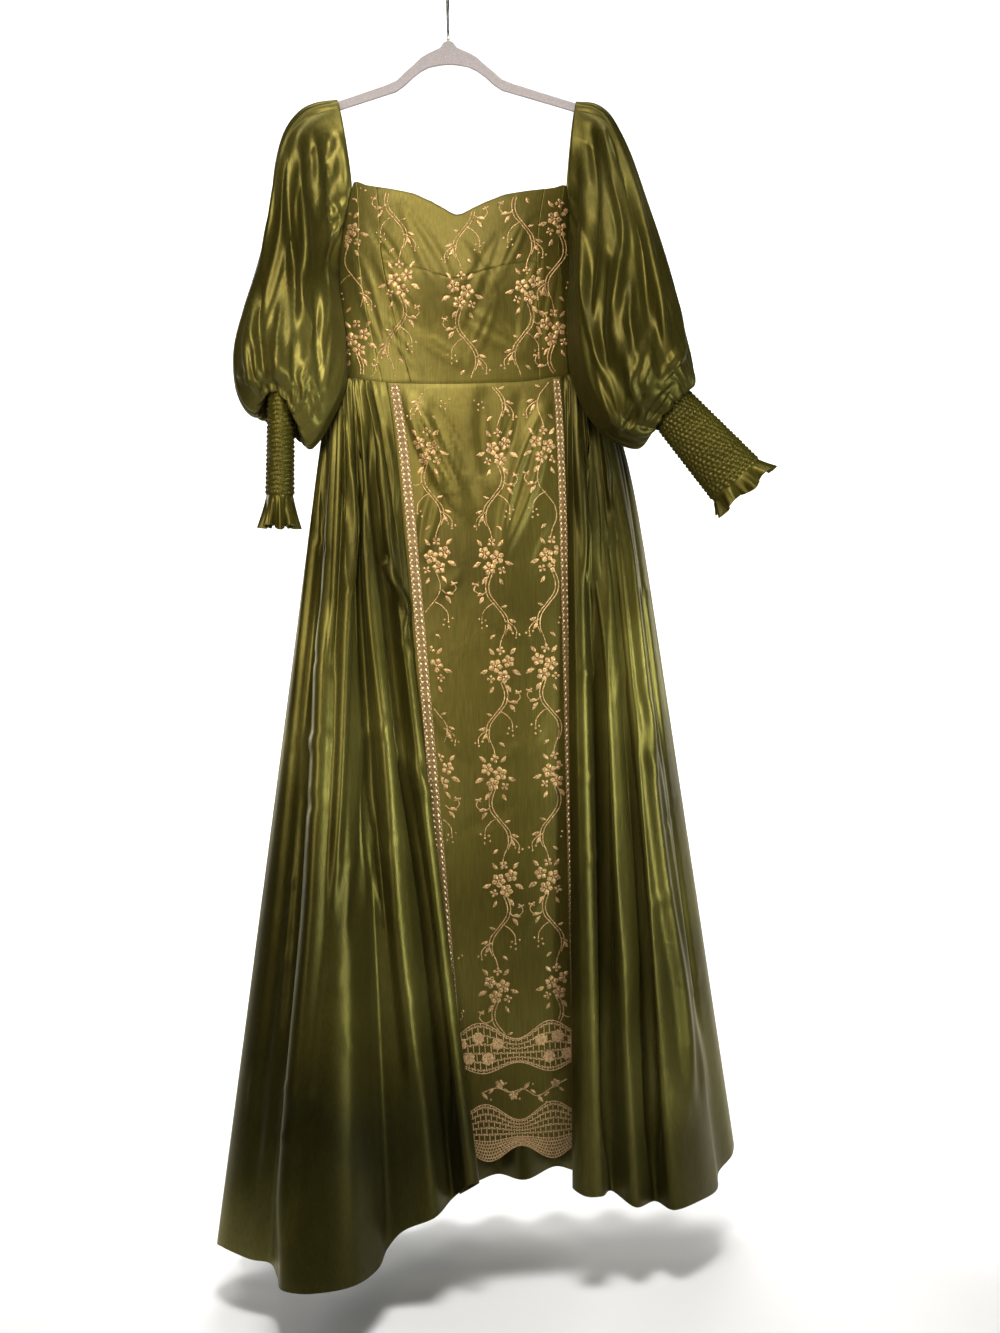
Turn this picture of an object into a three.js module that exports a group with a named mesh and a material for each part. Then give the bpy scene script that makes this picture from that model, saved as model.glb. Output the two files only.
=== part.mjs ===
// Floor-length satin gown with bishop sleeves, hanging flat on a slim flocked hanger.
// Millimetres, +Z up. The front faces -Y, and left and right are as seen from the front.
// The origin is the inside top of the hanger's hook.
import * as THREE from "three";

// Cloth and seams
const CLOTH = 1.2;
const SEAM_GAP = 0.3;
const TRIM_THICK = 1.2;
const DEGREE = Math.PI / 180;

// Bodice: one row for each level of its rounded, flattened section
const BODICE = [
  { z: -520, x: 8, halfWidth: 166, halfDepth: 52 },
  { z: -440, x: 6, halfWidth: 160, halfDepth: 54 },
  { z: -380, x: 5, halfWidth: 156, halfDepth: 57 },
  { z: -336, x: 5, halfWidth: 152, halfDepth: 50 },
  { z: -298, x: 9, halfWidth: 149, halfDepth: 43 },
  { z: -255, x: 13, halfWidth: 150, halfDepth: 36 },
];
const SECTION_POWER = 2.4;
const BODICE_TILT = -0.03;
const WAIST_LEVEL = -500;
const WAIST_DIP_FRONT = 15;
const WAIST_DIP_BACK = 8;
const BODICE_SHARES = [0, 0.2, 0.41, 0.617, 0.75, 0.88, 1];
const CUP_SEAM_SHARE = 3;
const CORNER = 68;
const SIDE = 90;
const BODICE_MM_PER_DEGREE = 1.2;

// Top edge of the bodice: sweetheart neck, armhole and back neck, by degrees from centre front
const TOP_EDGE = [
  { deg: 0, z: -298 },
  { deg: 5, z: -289 },
  { deg: 10, z: -281 },
  { deg: 19, z: -271 },
  { deg: 32, z: -265 },
  { deg: 50, z: -260 },
  { deg: 66, z: -256 },
  { deg: 74, z: -281 },
  { deg: 82, z: -317 },
  { deg: 90, z: -336 },
  { deg: 99, z: -319 },
  { deg: 108, z: -290 },
  { deg: 116, z: -277 },
  { deg: 145, z: -283 },
  { deg: 180, z: -287 },
];

// Bodice panels between seams, by degrees from centre front at the top edge and at the waist
const BODICE_PANELS = [
  { name: "bodice_side_front_left", top: [-62, -43], waist: [-33, -18], columns: 3 },
  { name: "bodice_side_left", top: [-90, -62], waist: [-94, -33], columns: 6 },
  { name: "bodice_side_front_right", top: [43.5, 62], waist: [35, 56], columns: 3 },
  { name: "bodice_side_right", top: [62, 90], waist: [56, 92], columns: 5 },
  { name: "bodice_back_left", top: [-180, -90], waist: [-180, -94], columns: 7 },
  { name: "bodice_back_right", top: [90, 180], waist: [92, 180], columns: 7 },
];
const CENTRE_FRONT = { top: [-43, 43.5], waist: [-18, 35], columns: 12 };

// Skirt: each row is one fold line, by degrees at the waist and by its place at the hem, from the
// front panel's left edge round the back to its right edge
const SKIRT_DROP = 1100;
const QUICK_FLARE = 0.135;
const QUICK_FLARE_SWAY = 0.09;
const FLARE_LENGTH = 60;
const SKIRT_LEVELS = [0, 0.022, 0.055, 0.11, 0.2, 0.33, 0.5, 0.67, 0.84, 1];
const GATHER_HEIGHT = 3.2;
const GATHER_FADE = 150;
const COLUMNS_PER_GATHER = 4;
const PANEL_SEAM_GAP = 0.8;
const SKIRT_FOLDS = [
  { deg: -31, x: -6, y: -97, z: -1590 },
  { deg: -41, x: 24, y: -121, z: -1566 },
  { deg: -44, x: 8, y: -138, z: -1564 },
  { deg: -47, x: -16, y: -113, z: -1590 },
  { deg: -52, x: -38, y: -160, z: -1596 },
  { deg: -56, x: -79, y: -165, z: -1610 },
  { deg: -59, x: -101, y: -168, z: -1631 },
  { deg: -62, x: -112, y: -205, z: -1642 },
  { deg: -66, x: -139, y: -257, z: -1640 },
  { deg: -70, x: -187, y: -276, z: -1640 },
  { deg: -73, x: -224, y: -260, z: -1642 },
  { deg: -76, x: -235, y: -218, z: -1644 },
  { deg: -80, x: -248, y: -182, z: -1642 },
  { deg: -84, x: -276, y: -166, z: -1643 },
  { deg: -89, x: -314, y: -134, z: -1641 },
  { deg: -94, x: -325, y: -95, z: -1649 },
  { deg: -101, x: -299, y: -52, z: -1648 },
  { deg: -108, x: -312, y: -8, z: -1648 },
  { deg: -115, x: -270, y: 22, z: -1650 },
  { deg: -122, x: -268, y: 68, z: -1652 },
  { deg: -129, x: -220, y: 66, z: -1655 },
  { deg: -137, x: -204, y: 114, z: -1658 },
  { deg: -146, x: -158, y: 98, z: -1662 },
  { deg: -155, x: -128, y: 148, z: -1665 },
  { deg: -163, x: -84, y: 124, z: -1668 },
  { deg: -171, x: -42, y: 162, z: -1670 },
  { deg: -180, x: 0, y: 140, z: -1670 },
  { deg: -189, x: 42, y: 174, z: -1670 },
  { deg: -197, x: 82, y: 146, z: -1668 },
  { deg: -205, x: 126, y: 188, z: -1665 },
  { deg: -213, x: 164, y: 158, z: -1660 },
  { deg: -221, x: 206, y: 202, z: -1655 },
  { deg: -229, x: 240, y: 166, z: -1648 },
  { deg: -237, x: 284, y: 206, z: -1640 },
  { deg: -244, x: 310, y: 166, z: -1630 },
  { deg: -251, x: 352, y: 188, z: -1618 },
  { deg: -259, x: 360, y: 148, z: -1606 },
  { deg: -268, x: 384, y: 120, z: -1598 },
  { deg: -271, x: 378, y: 76, z: -1606 },
  { deg: -273, x: 352, y: 26, z: -1612 },
  { deg: -276, x: 344, y: -12, z: -1622 },
  { deg: -279, x: 318, y: -58, z: -1618 },
  { deg: -283, x: 278, y: -96, z: -1616 },
  { deg: -287, x: 255, y: -70, z: -1614 },
  { deg: -291, x: 226, y: -112, z: -1605 },
  { deg: -294, x: 197, y: -80, z: -1595 },
  { deg: -297, x: 183, y: -116, z: -1588 },
  { deg: -300, x: 160, y: -124, z: -1585 },
  { deg: -303, x: 143, y: -104, z: -1581 },
  { deg: -304, x: 151, y: -88, z: -1581 },
  { deg: -309.4, x: 166, y: -72, z: -1582 },
];
const SKIRT_PIECES = [
  { name: "skirt_side_front_left", from: 0, to: 15, columns: 32 },
  { name: "skirt_back_left", from: 15, to: 26, columns: 22 },
  { name: "skirt_back_right", from: 26, to: 37, columns: 22 },
  { name: "skirt_side_front_right", from: 37, to: 50, columns: 28 },
];

// Front panel, its braid and its two scalloped lace bands
const PANEL = {
  left: SKIRT_FOLDS[0],
  right: { ...SKIRT_FOLDS[SKIRT_FOLDS.length - 1], deg: 50.6 },
  bow: 10,
  columns: 16,
};
const BRAID = { width: 15, inset: 4, lift: 0.65, rows: 20, start: 3, end: 1.5 };
const SCALLOP_PITCH = 87;
const SCALLOP_CREST = 32;
const LACE_BANDS = [
  { name: "lace_band_upper", top: -1369, bottom: -1419, topWave: 11, bottomWave: 7 },
  { name: "lace_band_lower", top: -1479, bottom: -1535, topWave: 11, bottomWave: 10 },
];
const LACE_COLUMNS = 15;
const LACE_ROWS = 4;
const LACE_INSET = 8;
const LACE_STRAND = 0.19;
const PANEL_HEM_ABOVE_LACE = 3;

// Sleeves: one row for each ring, with its outer and inner point, middle depth and half depth
const SLEEVE_LEFT = [
  { outerX: -174, outerZ: -147, innerX: -154, innerZ: -340, y: -2, halfDepth: 20, frontRise: 0 },
  { outerX: -196, outerZ: -158, innerX: -159, innerZ: -354, y: -5, halfDepth: 27, frontRise: 0 },
  { outerX: -215, outerZ: -184, innerX: -162, innerZ: -382, y: -12, halfDepth: 35, frontRise: 0 },
  { outerX: -227, outerZ: -228, innerX: -157, innerZ: -415, y: -20, halfDepth: 43, frontRise: 0 },
  { outerX: -235, outerZ: -293, innerX: -153, innerZ: -448, y: -28, halfDepth: 50, frontRise: 0 },
  { outerX: -252, outerZ: -357, innerX: -152, innerZ: -481, y: -36, halfDepth: 55, frontRise: 0 },
  { outerX: -271, outerZ: -416, innerX: -153, innerZ: -507, y: -46, halfDepth: 56, frontRise: 6 },
  { outerX: -283, outerZ: -467, innerX: -158, innerZ: -533, y: -56, halfDepth: 55, frontRise: 20 },
  { outerX: -282, outerZ: -513, innerX: -167, innerZ: -559, y: -64, halfDepth: 52, frontRise: 38 },
  { outerX: -271, outerZ: -543, innerX: -177, innerZ: -583, y: -66, halfDepth: 46, frontRise: 54 },
  { outerX: -256, outerZ: -554, innerX: -188, innerZ: -597, y: -66, halfDepth: 40, frontRise: 60 },
  { outerX: -247, outerZ: -542, innerX: -194.5, innerZ: -582, y: -66, halfDepth: 39, frontRise: 35 },
];
const SLEEVE_RIGHT = [
  { outerX: 190, outerZ: -153, innerX: 162, innerZ: -341, y: -2, halfDepth: 20, frontRise: 0 },
  { outerX: 208, outerZ: -166, innerX: 166, innerZ: -358, y: -6, halfDepth: 27, frontRise: 0 },
  { outerX: 222, outerZ: -191, innerX: 166, innerZ: -387, y: -14, halfDepth: 35, frontRise: 0 },
  { outerX: 237, outerZ: -228, innerX: 164, innerZ: -422, y: -22, halfDepth: 43, frontRise: 0 },
  { outerX: 254, outerZ: -281, innerX: 164, innerZ: -460, y: -32, halfDepth: 50, frontRise: 0 },
  { outerX: 271, outerZ: -336, innerX: 166, innerZ: -496, y: -44, halfDepth: 54, frontRise: 0 },
  { outerX: 286, outerZ: -393, innerX: 174, innerZ: -532, y: -58, halfDepth: 55, frontRise: 0 },
  { outerX: 297, outerZ: -446, innerX: 190, innerZ: -565, y: -70, halfDepth: 52, frontRise: 0 },
  { outerX: 306, outerZ: -484, innerX: 207, innerZ: -588, y: -76, halfDepth: 46, frontRise: 6 },
  { outerX: 309, outerZ: -503, innerX: 226, innerZ: -600, y: -78, halfDepth: 38, frontRise: 14 },
  { outerX: 311, outerZ: -514, innerX: 241, innerZ: -602, y: -78, halfDepth: 30, frontRise: 14 },
  { outerX: 309, outerZ: -523, innerX: 250, innerZ: -589, y: -78, halfDepth: 24, frontRise: 6 },
];
const SLEEVE_COLUMNS = 22;
const SLEEVE_POWER = 2.2;
const SLEEVE_FOLDS = [
  { deg: 48, width: 17, height: 8 },
  { deg: 92, width: 19, height: 9 },
  { deg: 138, width: 17, height: 7 },
  { deg: 225, width: 18, height: 8 },
  { deg: 285, width: 19, height: 8 },
];
const STRAP_LEFT = { side: -1, x: -147, z: -142.8 };
const STRAP_RIGHT = { side: 1, x: 166, z: -149.35 };
const STRAP_SPAN = 102;
const ARMHOLE_GAP = 0.4;

// Smocked cuffs: axis from the sleeve seam to the end of the shirring, then a small ruffle
const CUFF_LEFT = {
  start: { x: -222, y: -66, z: -519 },
  end: { x: -227, y: -68, z: -655 },
  across: { x: 1, y: 0, z: -0.04 },
  halfAcross: [15, 17],
  halfDeep: [32, 28],
  ruffle: 42,
  ruffleFlare: 5,
};
const CUFF_RIGHT = {
  start: { x: 278, y: -78, z: -546 },
  end: { x: 363, y: -80, z: -643 },
  across: { x: 0.752, y: 0, z: 0.659 },
  halfAcross: [30, 39],
  halfDeep: [15, 14],
  ruffle: 22,
  ruffleFlare: 6,
};
const SMOCK_ROWS = 7;
const SMOCK_HEIGHT = 1.8;
const CUFF_COLUMNS = 18;
const RUFFLE_WAVES = 9;
const RUFFLE_WAVE_HEIGHT = 3.5;
const RUFFLE_STEPS = 2;
const CUFF_CLEARANCE = 0.4;

// Hanger body and wire hook
const HANGER_THICK = 5;
const HANGER_BEVEL = 1;
const HANGER_ARM = [
  { x: 0, top: -70, bottom: -101 },
  { x: 6, top: -72, bottom: -101 },
  { x: 11, top: -79, bottom: -101.5 },
  { x: 25, top: -85, bottom: -104 },
  { x: 36, top: -91, bottom: -109 },
  { x: 47, top: -101, bottom: -117 },
  { x: 58, top: -110, bottom: -127 },
  { x: 69, top: -120, bottom: -134.5 },
  { x: 84, top: -126, bottom: -139 },
  { x: 147, top: -146, bottom: -158 },
  { x: 186, top: -158.5, bottom: -170 },
];
const ARM_END = { x: 190, z: -166 };
const WIRE_RADIUS = 1.6;
const HOOK_RADIUS = 20;
const HOOK_SWAY_LEVEL = -50;

const satin = new THREE.MeshStandardMaterial({ color: 0x6b5f28, roughness: 0.36, metalness: 0 });
const embroideredSatin = new THREE.MeshStandardMaterial({ color: 0x7a6c30, roughness: 0.4, metalness: 0 });
const shirredSatin = new THREE.MeshStandardMaterial({ color: 0x57501f, roughness: 0.5, metalness: 0 });
const goldBraid = new THREE.MeshStandardMaterial({ color: 0x9a7f55, roughness: 0.5, metalness: 0.3 });
const goldLace = new THREE.MeshStandardMaterial({ color: 0x7c6444, roughness: 0.6, metalness: 0.2 });
const flocking = new THREE.MeshStandardMaterial({ color: 0xb3a6a2, roughness: 0.95, metalness: 0 });
const steelWire = new THREE.MeshStandardMaterial({ color: 0x8e8f92, roughness: 0.3, metalness: 1 });

// Reads one column of a table at a place between its rows, on a smooth curve through them
function smoothAt(rows, place, column) {
  const last = rows.length - 1;
  const index = Math.min(Math.floor(place), last - 1);
  const t = place - index;
  const before = rows[Math.max(index - 1, 0)][column];
  const from = rows[index][column];
  const to = rows[index + 1][column];
  const after = rows[Math.min(index + 2, last)][column];
  const startSlope = (to - before) / 2;
  const endSlope = (after - from) / 2;
  const rise = to - from;
  const square = 3 * rise - 2 * startSlope - endSlope;
  const cube = startSlope + endSlope - 2 * rise;
  return from + t * (startSlope + t * (square + t * cube));
}

// Finds the place between a table's rows where one of its columns has a value
function placeOf(rows, column, value) {
  const rising = rows[1][column] > rows[0][column] ? 1 : -1;
  for (let index = 0; index < rows.length - 1; index += 1) {
    const from = rows[index][column];
    const to = rows[index + 1][column];
    if ((value - to) * rising <= 0 || index === rows.length - 2) {
      return index + THREE.MathUtils.clamp((value - from) / (to - from), 0, 1);
    }
  }
  return 0;
}

function signedPower(value, power) {
  return Math.sign(value) * Math.abs(value) ** power;
}

// Turns grids of outer and inner points into one closed wall
function wallBetween(outer, inner, closed) {
  const rowCount = outer.length;
  const columnCount = outer[0].length;
  const points = [...outer.flat(), ...inner.flat()];
  const offset = rowCount * columnCount;
  const at = (row, column) => row * columnCount + (column % columnCount);
  const steps = closed ? columnCount : columnCount - 1;
  const faces = [];
  const quad = (a, b, c, d) => faces.push(a, b, c, a, c, d);
  for (let row = 0; row < rowCount - 1; row += 1) {
    for (let column = 0; column < steps; column += 1) {
      const corners = [at(row, column), at(row + 1, column), at(row + 1, column + 1), at(row, column + 1)];
      quad(...corners);
      quad(...corners.map((index) => index + offset).reverse());
    }
  }
  for (let column = 0; column < steps; column += 1) {
    const low = at(rowCount - 1, column);
    const lowNext = at(rowCount - 1, column + 1);
    const high = at(0, column);
    const highNext = at(0, column + 1);
    quad(low, low + offset, lowNext + offset, lowNext);
    quad(high, highNext, highNext + offset, high + offset);
  }
  if (!closed) {
    for (let row = 0; row < rowCount - 1; row += 1) {
      const first = at(row, 0);
      const firstBelow = at(row + 1, 0);
      const last = at(row, columnCount - 1);
      const lastBelow = at(row + 1, columnCount - 1);
      quad(first, first + offset, firstBelow + offset, firstBelow);
      quad(last, lastBelow, lastBelow + offset, last + offset);
    }
  }
  return closedGeometry(points, faces);
}

// Makes a geometry of indexed points, with its faces turned to point out
function closedGeometry(points, faces) {
  let volume = 0;
  for (let index = 0; index < faces.length; index += 3) {
    const [a, b, c] = [points[faces[index]], points[faces[index + 1]], points[faces[index + 2]]];
    volume += a.dot(b.clone().cross(c));
  }
  const geometry = new THREE.BufferGeometry().setFromPoints(points);
  geometry.setIndex(volume < 0 ? faces.slice().reverse() : faces);
  geometry.computeVertexNormals();
  return geometry;
}

// Unit normals of a grid of points, towards the side from which its columns run to the right
function gridNormals(grid, closed) {
  const rowCount = grid.length;
  const columnCount = grid[0].length;
  return grid.map((line, row) =>
    line.map((point, column) => {
      const before = closed ? (column + columnCount - 1) % columnCount : Math.max(column - 1, 0);
      const after = closed ? (column + 1) % columnCount : Math.min(column + 1, columnCount - 1);
      const along = line[after].clone().sub(line[before]);
      const down = grid[Math.min(row + 1, rowCount - 1)][column].clone();
      down.sub(grid[Math.max(row - 1, 0)][column]);
      return down.cross(along).normalize();
    }),
  );
}

function moved(grid, normals, distance) {
  return grid.map((line, row) =>
    line.map((point, column) => point.clone().addScaledVector(normals[row][column], distance)),
  );
}

// A wall of cloth whose outer side is the grid; side is 1 where the normals point out, else -1
function clothWall(grid, side, closed = false) {
  return wallBetween(grid, moved(grid, gridNormals(grid, closed), -side * CLOTH), closed);
}

function gridOf(rowCount, columnCount, pointAt) {
  return Array.from({ length: rowCount }, (_, row) =>
    Array.from({ length: columnCount }, (__, column) => pointAt(row, column)),
  );
}

// Point of the bodice's surface at an angle from centre front and a level
function bodicePoint(deg, z) {
  const place = placeOf(BODICE, "z", z);
  const halfWidth = smoothAt(BODICE, place, "halfWidth");
  const halfDepth = smoothAt(BODICE, place, "halfDepth");
  const angle = deg * DEGREE;
  const x = smoothAt(BODICE, place, "x") + halfWidth * signedPower(Math.sin(angle), 2 / SECTION_POWER);
  return new THREE.Vector3(x, -halfDepth * signedPower(Math.cos(angle), 2 / SECTION_POWER), z);
}

function bodiceNormal(deg, z) {
  const along = bodicePoint(deg + 1, z).sub(bodicePoint(deg - 1, z));
  const down = bodicePoint(deg, z - 4).sub(bodicePoint(deg, z + 4));
  return down.cross(along).normalize();
}

function waistLevel(deg) {
  const facing = Math.cos(deg * DEGREE);
  const dip = facing > 0 ? WAIST_DIP_FRONT : WAIST_DIP_BACK;
  return WAIST_LEVEL - dip * facing * facing;
}

function topLevel(deg) {
  const level = smoothAt(TOP_EDGE, placeOf(TOP_EDGE, "deg", Math.abs(deg)), "z");
  return level + BODICE_TILT * BODICE[4].halfWidth * Math.sin(deg * DEGREE);
}

// Bodice panel between two seams, through shares of the height from the waist to the top edge
function bodicePanel(panel, shares = BODICE_SHARES) {
  const from = shares[0];
  const rows = shares.length;
  const surface = (height) =>
    gridOf(rows, panel.columns + 1, (row, column) => {
      const up = shares[rows - 1 - row];
      const seams = [0, 1].map((side) => THREE.MathUtils.lerp(panel.waist[side], panel.top[side], up));
      const gap = SEAM_GAP / BODICE_MM_PER_DEGREE / 2;
      const deg = THREE.MathUtils.lerp(seams[0] + gap, seams[1] - gap, column / panel.columns);
      const low = waistLevel(deg) + SEAM_GAP / 2;
      const gapBelow = from > 0 && row === rows - 1 ? SEAM_GAP / 2 : 0;
      const gapAbove = shares[rows - 1] < 1 && row === 0 ? SEAM_GAP / 2 : 0;
      const z = THREE.MathUtils.lerp(low, topLevel(deg), up) + gapBelow - gapAbove;
      return bodicePoint(deg, z).addScaledVector(bodiceNormal(deg, z), height);
    });
  return wallBetween(surface(0), surface(-CLOTH), false);
}

// Share of the way from the waist to the hem's plan that a fold line has gone at a drop. The cloth
// swings out sooner on the right side than on the left.
function flareAt(deg, drop) {
  const quick = QUICK_FLARE + QUICK_FLARE_SWAY * Math.sin(deg * DEGREE);
  return quick * (1 - Math.exp(-drop / FLARE_LENGTH)) + (1 - quick) * (drop / SKIRT_DROP);
}

function foldPoint(deg, hem, drop) {
  const waist = bodicePoint(deg, waistLevel(deg));
  const share = flareAt(deg, drop);
  const x = THREE.MathUtils.lerp(waist.x, hem.x, share);
  const y = THREE.MathUtils.lerp(waist.y, hem.y, share);
  return new THREE.Vector3(x, y, waist.z - drop);
}

// Height of the small gathers under the waist seam
function gatherHeight(drop) {
  return GATHER_HEIGHT * (0.3 + 0.7 * Math.min(1, drop / 25)) * Math.exp(-drop / GATHER_FADE);
}

// Places between the fold lines of the columns of a skirt piece
function columnPlaces(piece) {
  return Array.from({ length: piece.columns + 1 }, (_, column) =>
    THREE.MathUtils.lerp(piece.from, piece.to, column / piece.columns),
  );
}

function skirtPoint(place, level, wave) {
  const hem = {
    x: smoothAt(SKIRT_FOLDS, place, "x"),
    y: smoothAt(SKIRT_FOLDS, place, "y"),
    z: smoothAt(SKIRT_FOLDS, place, "z"),
  };
  const deg = smoothAt(SKIRT_FOLDS, place, "deg");
  const drop = Math.max(level * (waistLevel(deg) - hem.z), SEAM_GAP / 2);
  const out = new THREE.Vector3(Math.sin(deg * DEGREE), -Math.cos(deg * DEGREE), 0);
  return foldPoint(deg, hem, drop).addScaledVector(out, wave * gatherHeight(drop));
}

// Gathered skirt pieces, cut from one strip so that neighbours share their seam's direction
function skirtPieces() {
  const columns = SKIRT_PIECES.flatMap((piece, index) =>
    columnPlaces(piece)
      .slice(index === 0 ? 0 : 1)
      .map((place) => ({ place, piece })),
  );
  const strip = gridOf(SKIRT_LEVELS.length, columns.length, (row, column) => {
    const { place, piece } = columns[column];
    const columnWidth = (piece.to - piece.from) / piece.columns;
    const fromEdge = Math.min(place - piece.from, piece.to - place) / columnWidth;
    const taper = Math.min(1, fromEdge / COLUMNS_PER_GATHER);
    const wave = Math.sin((column / COLUMNS_PER_GATHER) * 2 * Math.PI) * taper;
    return skirtPoint(place, SKIRT_LEVELS[row], wave);
  });
  const lining = moved(strip, gridNormals(strip, false), CLOTH);
  let start = 0;
  return SKIRT_PIECES.map((piece) => {
    const end = start + piece.columns;
    const atPanel = [start === 0, end === columns.length - 1];
    const gaps = atPanel.map((panelSeam) => (panelSeam ? PANEL_SEAM_GAP : SEAM_GAP * 0.6));
    const outer = strip.map((line) => partedLine(line, start, end, gaps));
    const inner = lining.map((line) => partedLine(line, start, end, gaps));
    start = end;
    return { name: piece.name, geometry: wallBetween(outer, inner, false) };
  });
}

// Part of a row of points, with its two end points drawn in from the seams
function partedLine(line, start, end, gaps) {
  const part = line.slice(start, end + 1).map((point) => point.clone());
  const drawIn = (index, neighbour, gap) => {
    const along = part[neighbour].clone().sub(part[index]).normalize();
    part[index].addScaledVector(along, gap);
  };
  drawIn(0, 1, gaps[0]);
  drawIn(part.length - 1, part.length - 2, gaps[1]);
  return part;
}

// Point of the front panel's outer face, across it from 0 to 1 and by level
function panelPoint(across, z) {
  const deg = THREE.MathUtils.lerp(PANEL.left.deg, PANEL.right.deg, across);
  const bow = PANEL.bow * (1 - (2 * across - 1) ** 2);
  const hem = {
    x: THREE.MathUtils.lerp(PANEL.left.x, PANEL.right.x, across),
    y: THREE.MathUtils.lerp(PANEL.left.y, PANEL.right.y, across) - bow,
  };
  return foldPoint(deg, hem, waistLevel(deg) - z);
}

function panelWidthAt(z) {
  return panelPoint(0, z).distanceTo(panelPoint(1, z));
}

function panelNormal(across, z) {
  const step = 0.02;
  const along = panelPoint(Math.min(across + step, 1), z).sub(panelPoint(Math.max(across - step, 0), z));
  const down = panelPoint(across, z - 10).sub(panelPoint(across, z + 10));
  return down.cross(along).normalize();
}

function scallop(across) {
  const x = panelPoint(across, LACE_BANDS[1].bottom).x;
  return Math.cos(((x - SCALLOP_CREST) / SCALLOP_PITCH) * 2 * Math.PI);
}

function bandTop(band, across) {
  return band.top + band.topWave * scallop(across);
}

function bandBottom(band, across) {
  return band.bottom - band.bottomWave * scallop(across);
}

function frontPanel() {
  const lastRow = SKIRT_LEVELS.length - 1;
  const grid = gridOf(lastRow + 1, PANEL.columns + 1, (row, column) => {
    const inset = SEAM_GAP / panelWidthAt(-1000);
    const across = THREE.MathUtils.lerp(inset, 1 - inset, column / PANEL.columns);
    const deg = THREE.MathUtils.lerp(PANEL.left.deg, PANEL.right.deg, across);
    const top = waistLevel(deg) - SEAM_GAP / 2;
    const bottom = bandBottom(LACE_BANDS[1], across) + PANEL_HEM_ABOVE_LACE;
    const seamLength = waistLevel(PANEL.left.deg) - PANEL.left.z;
    return panelPoint(across, row === lastRow ? bottom : top - SKIRT_LEVELS[row] * seamLength);
  });
  return clothWall(grid, 1);
}

function onPanel(across, z, height) {
  return panelPoint(across, z).addScaledVector(panelNormal(across, z), height);
}

// Gold braid along one edge of the front panel, from the waist to the lower lace band
function braid(side) {
  const grids = [BRAID.lift + TRIM_THICK, BRAID.lift].map((height) =>
    gridOf(BRAID.rows, 3, (row, column) => {
      const distance = BRAID.inset + (BRAID.width * column) / 2;
      const shareAt = (z) => (side < 0 ? distance : panelWidthAt(z) - distance) / panelWidthAt(z);
      const top = waistLevel(THREE.MathUtils.lerp(PANEL.left.deg, PANEL.right.deg, shareAt(WAIST_LEVEL)));
      const bottom = bandTop(LACE_BANDS[0], shareAt(LACE_BANDS[0].top));
      const z = THREE.MathUtils.lerp(top - BRAID.start, bottom + BRAID.end, row / (BRAID.rows - 1));
      return onPanel(shareAt(z), z, height);
    }),
  );
  return wallBetween(grids[0], grids[1], false);
}

// Net of strands around four-sided gaps that are cut through
function laceBand(band) {
  const bandPoint = (acrossBand, downBand, height) => {
    const inset = LACE_INSET / panelWidthAt(band.top);
    const across = THREE.MathUtils.lerp(inset, 1 - inset, acrossBand);
    const z = THREE.MathUtils.lerp(bandTop(band, across), bandBottom(band, across), downBand);
    return onPanel(across, z, height);
  };
  const points = [];
  const faces = [];
  const corner = (layer, row, column) =>
    (layer * (LACE_ROWS + 1) + row) * (LACE_COLUMNS + 1) + column;
  const heights = [SEAM_GAP + TRIM_THICK, SEAM_GAP];
  heights.forEach((height) => {
    for (let row = 0; row <= LACE_ROWS; row += 1) {
      for (let column = 0; column <= LACE_COLUMNS; column += 1) {
        points.push(bandPoint(column / LACE_COLUMNS, row / LACE_ROWS, height));
      }
    }
  });
  const quad = (a, b, c, d) => faces.push(a, b, c, a, c, d);
  for (let row = 0; row < LACE_ROWS; row += 1) {
    for (let column = 0; column < LACE_COLUMNS; column += 1) {
      const frame = [[0, 0], [1, 0], [1, 1], [0, 1]];
      const gap = heights.map((height) =>
        frame.map(([down, along]) => {
          const downCell = THREE.MathUtils.lerp(LACE_STRAND, 1 - LACE_STRAND, down);
          const alongCell = THREE.MathUtils.lerp(LACE_STRAND, 1 - LACE_STRAND, along);
          points.push(bandPoint((column + alongCell) / LACE_COLUMNS, (row + downCell) / LACE_ROWS, height));
          return points.length - 1;
        }),
      );
      frame.forEach(([down, along], index) => {
        const next = (index + 1) % 4;
        const [nextDown, nextAlong] = frame[next];
        const outer = [0, 1].map((layer) => corner(layer, row + down, column + along));
        const outerNext = [0, 1].map((layer) => corner(layer, row + nextDown, column + nextAlong));
        quad(outer[0], outerNext[0], gap[0][next], gap[0][index]);
        quad(outer[1], gap[1][index], gap[1][next], outerNext[1]);
        quad(gap[0][index], gap[0][next], gap[1][next], gap[1][index]);
      });
    }
  }
  const rim = [];
  for (let row = 0; row < LACE_ROWS; row += 1) {
    rim.push([row, 0, row + 1, 0], [row + 1, LACE_COLUMNS, row, LACE_COLUMNS]);
  }
  for (let column = 0; column < LACE_COLUMNS; column += 1) {
    rim.push([LACE_ROWS, column, LACE_ROWS, column + 1], [0, column + 1, 0, column]);
  }
  rim.forEach(([row, column, nextRow, nextColumn]) => {
    quad(
      corner(0, nextRow, nextColumn),
      corner(0, row, column),
      corner(1, row, column),
      corner(1, nextRow, nextColumn),
    );
  });
  return closedGeometry(points, faces);
}

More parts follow.
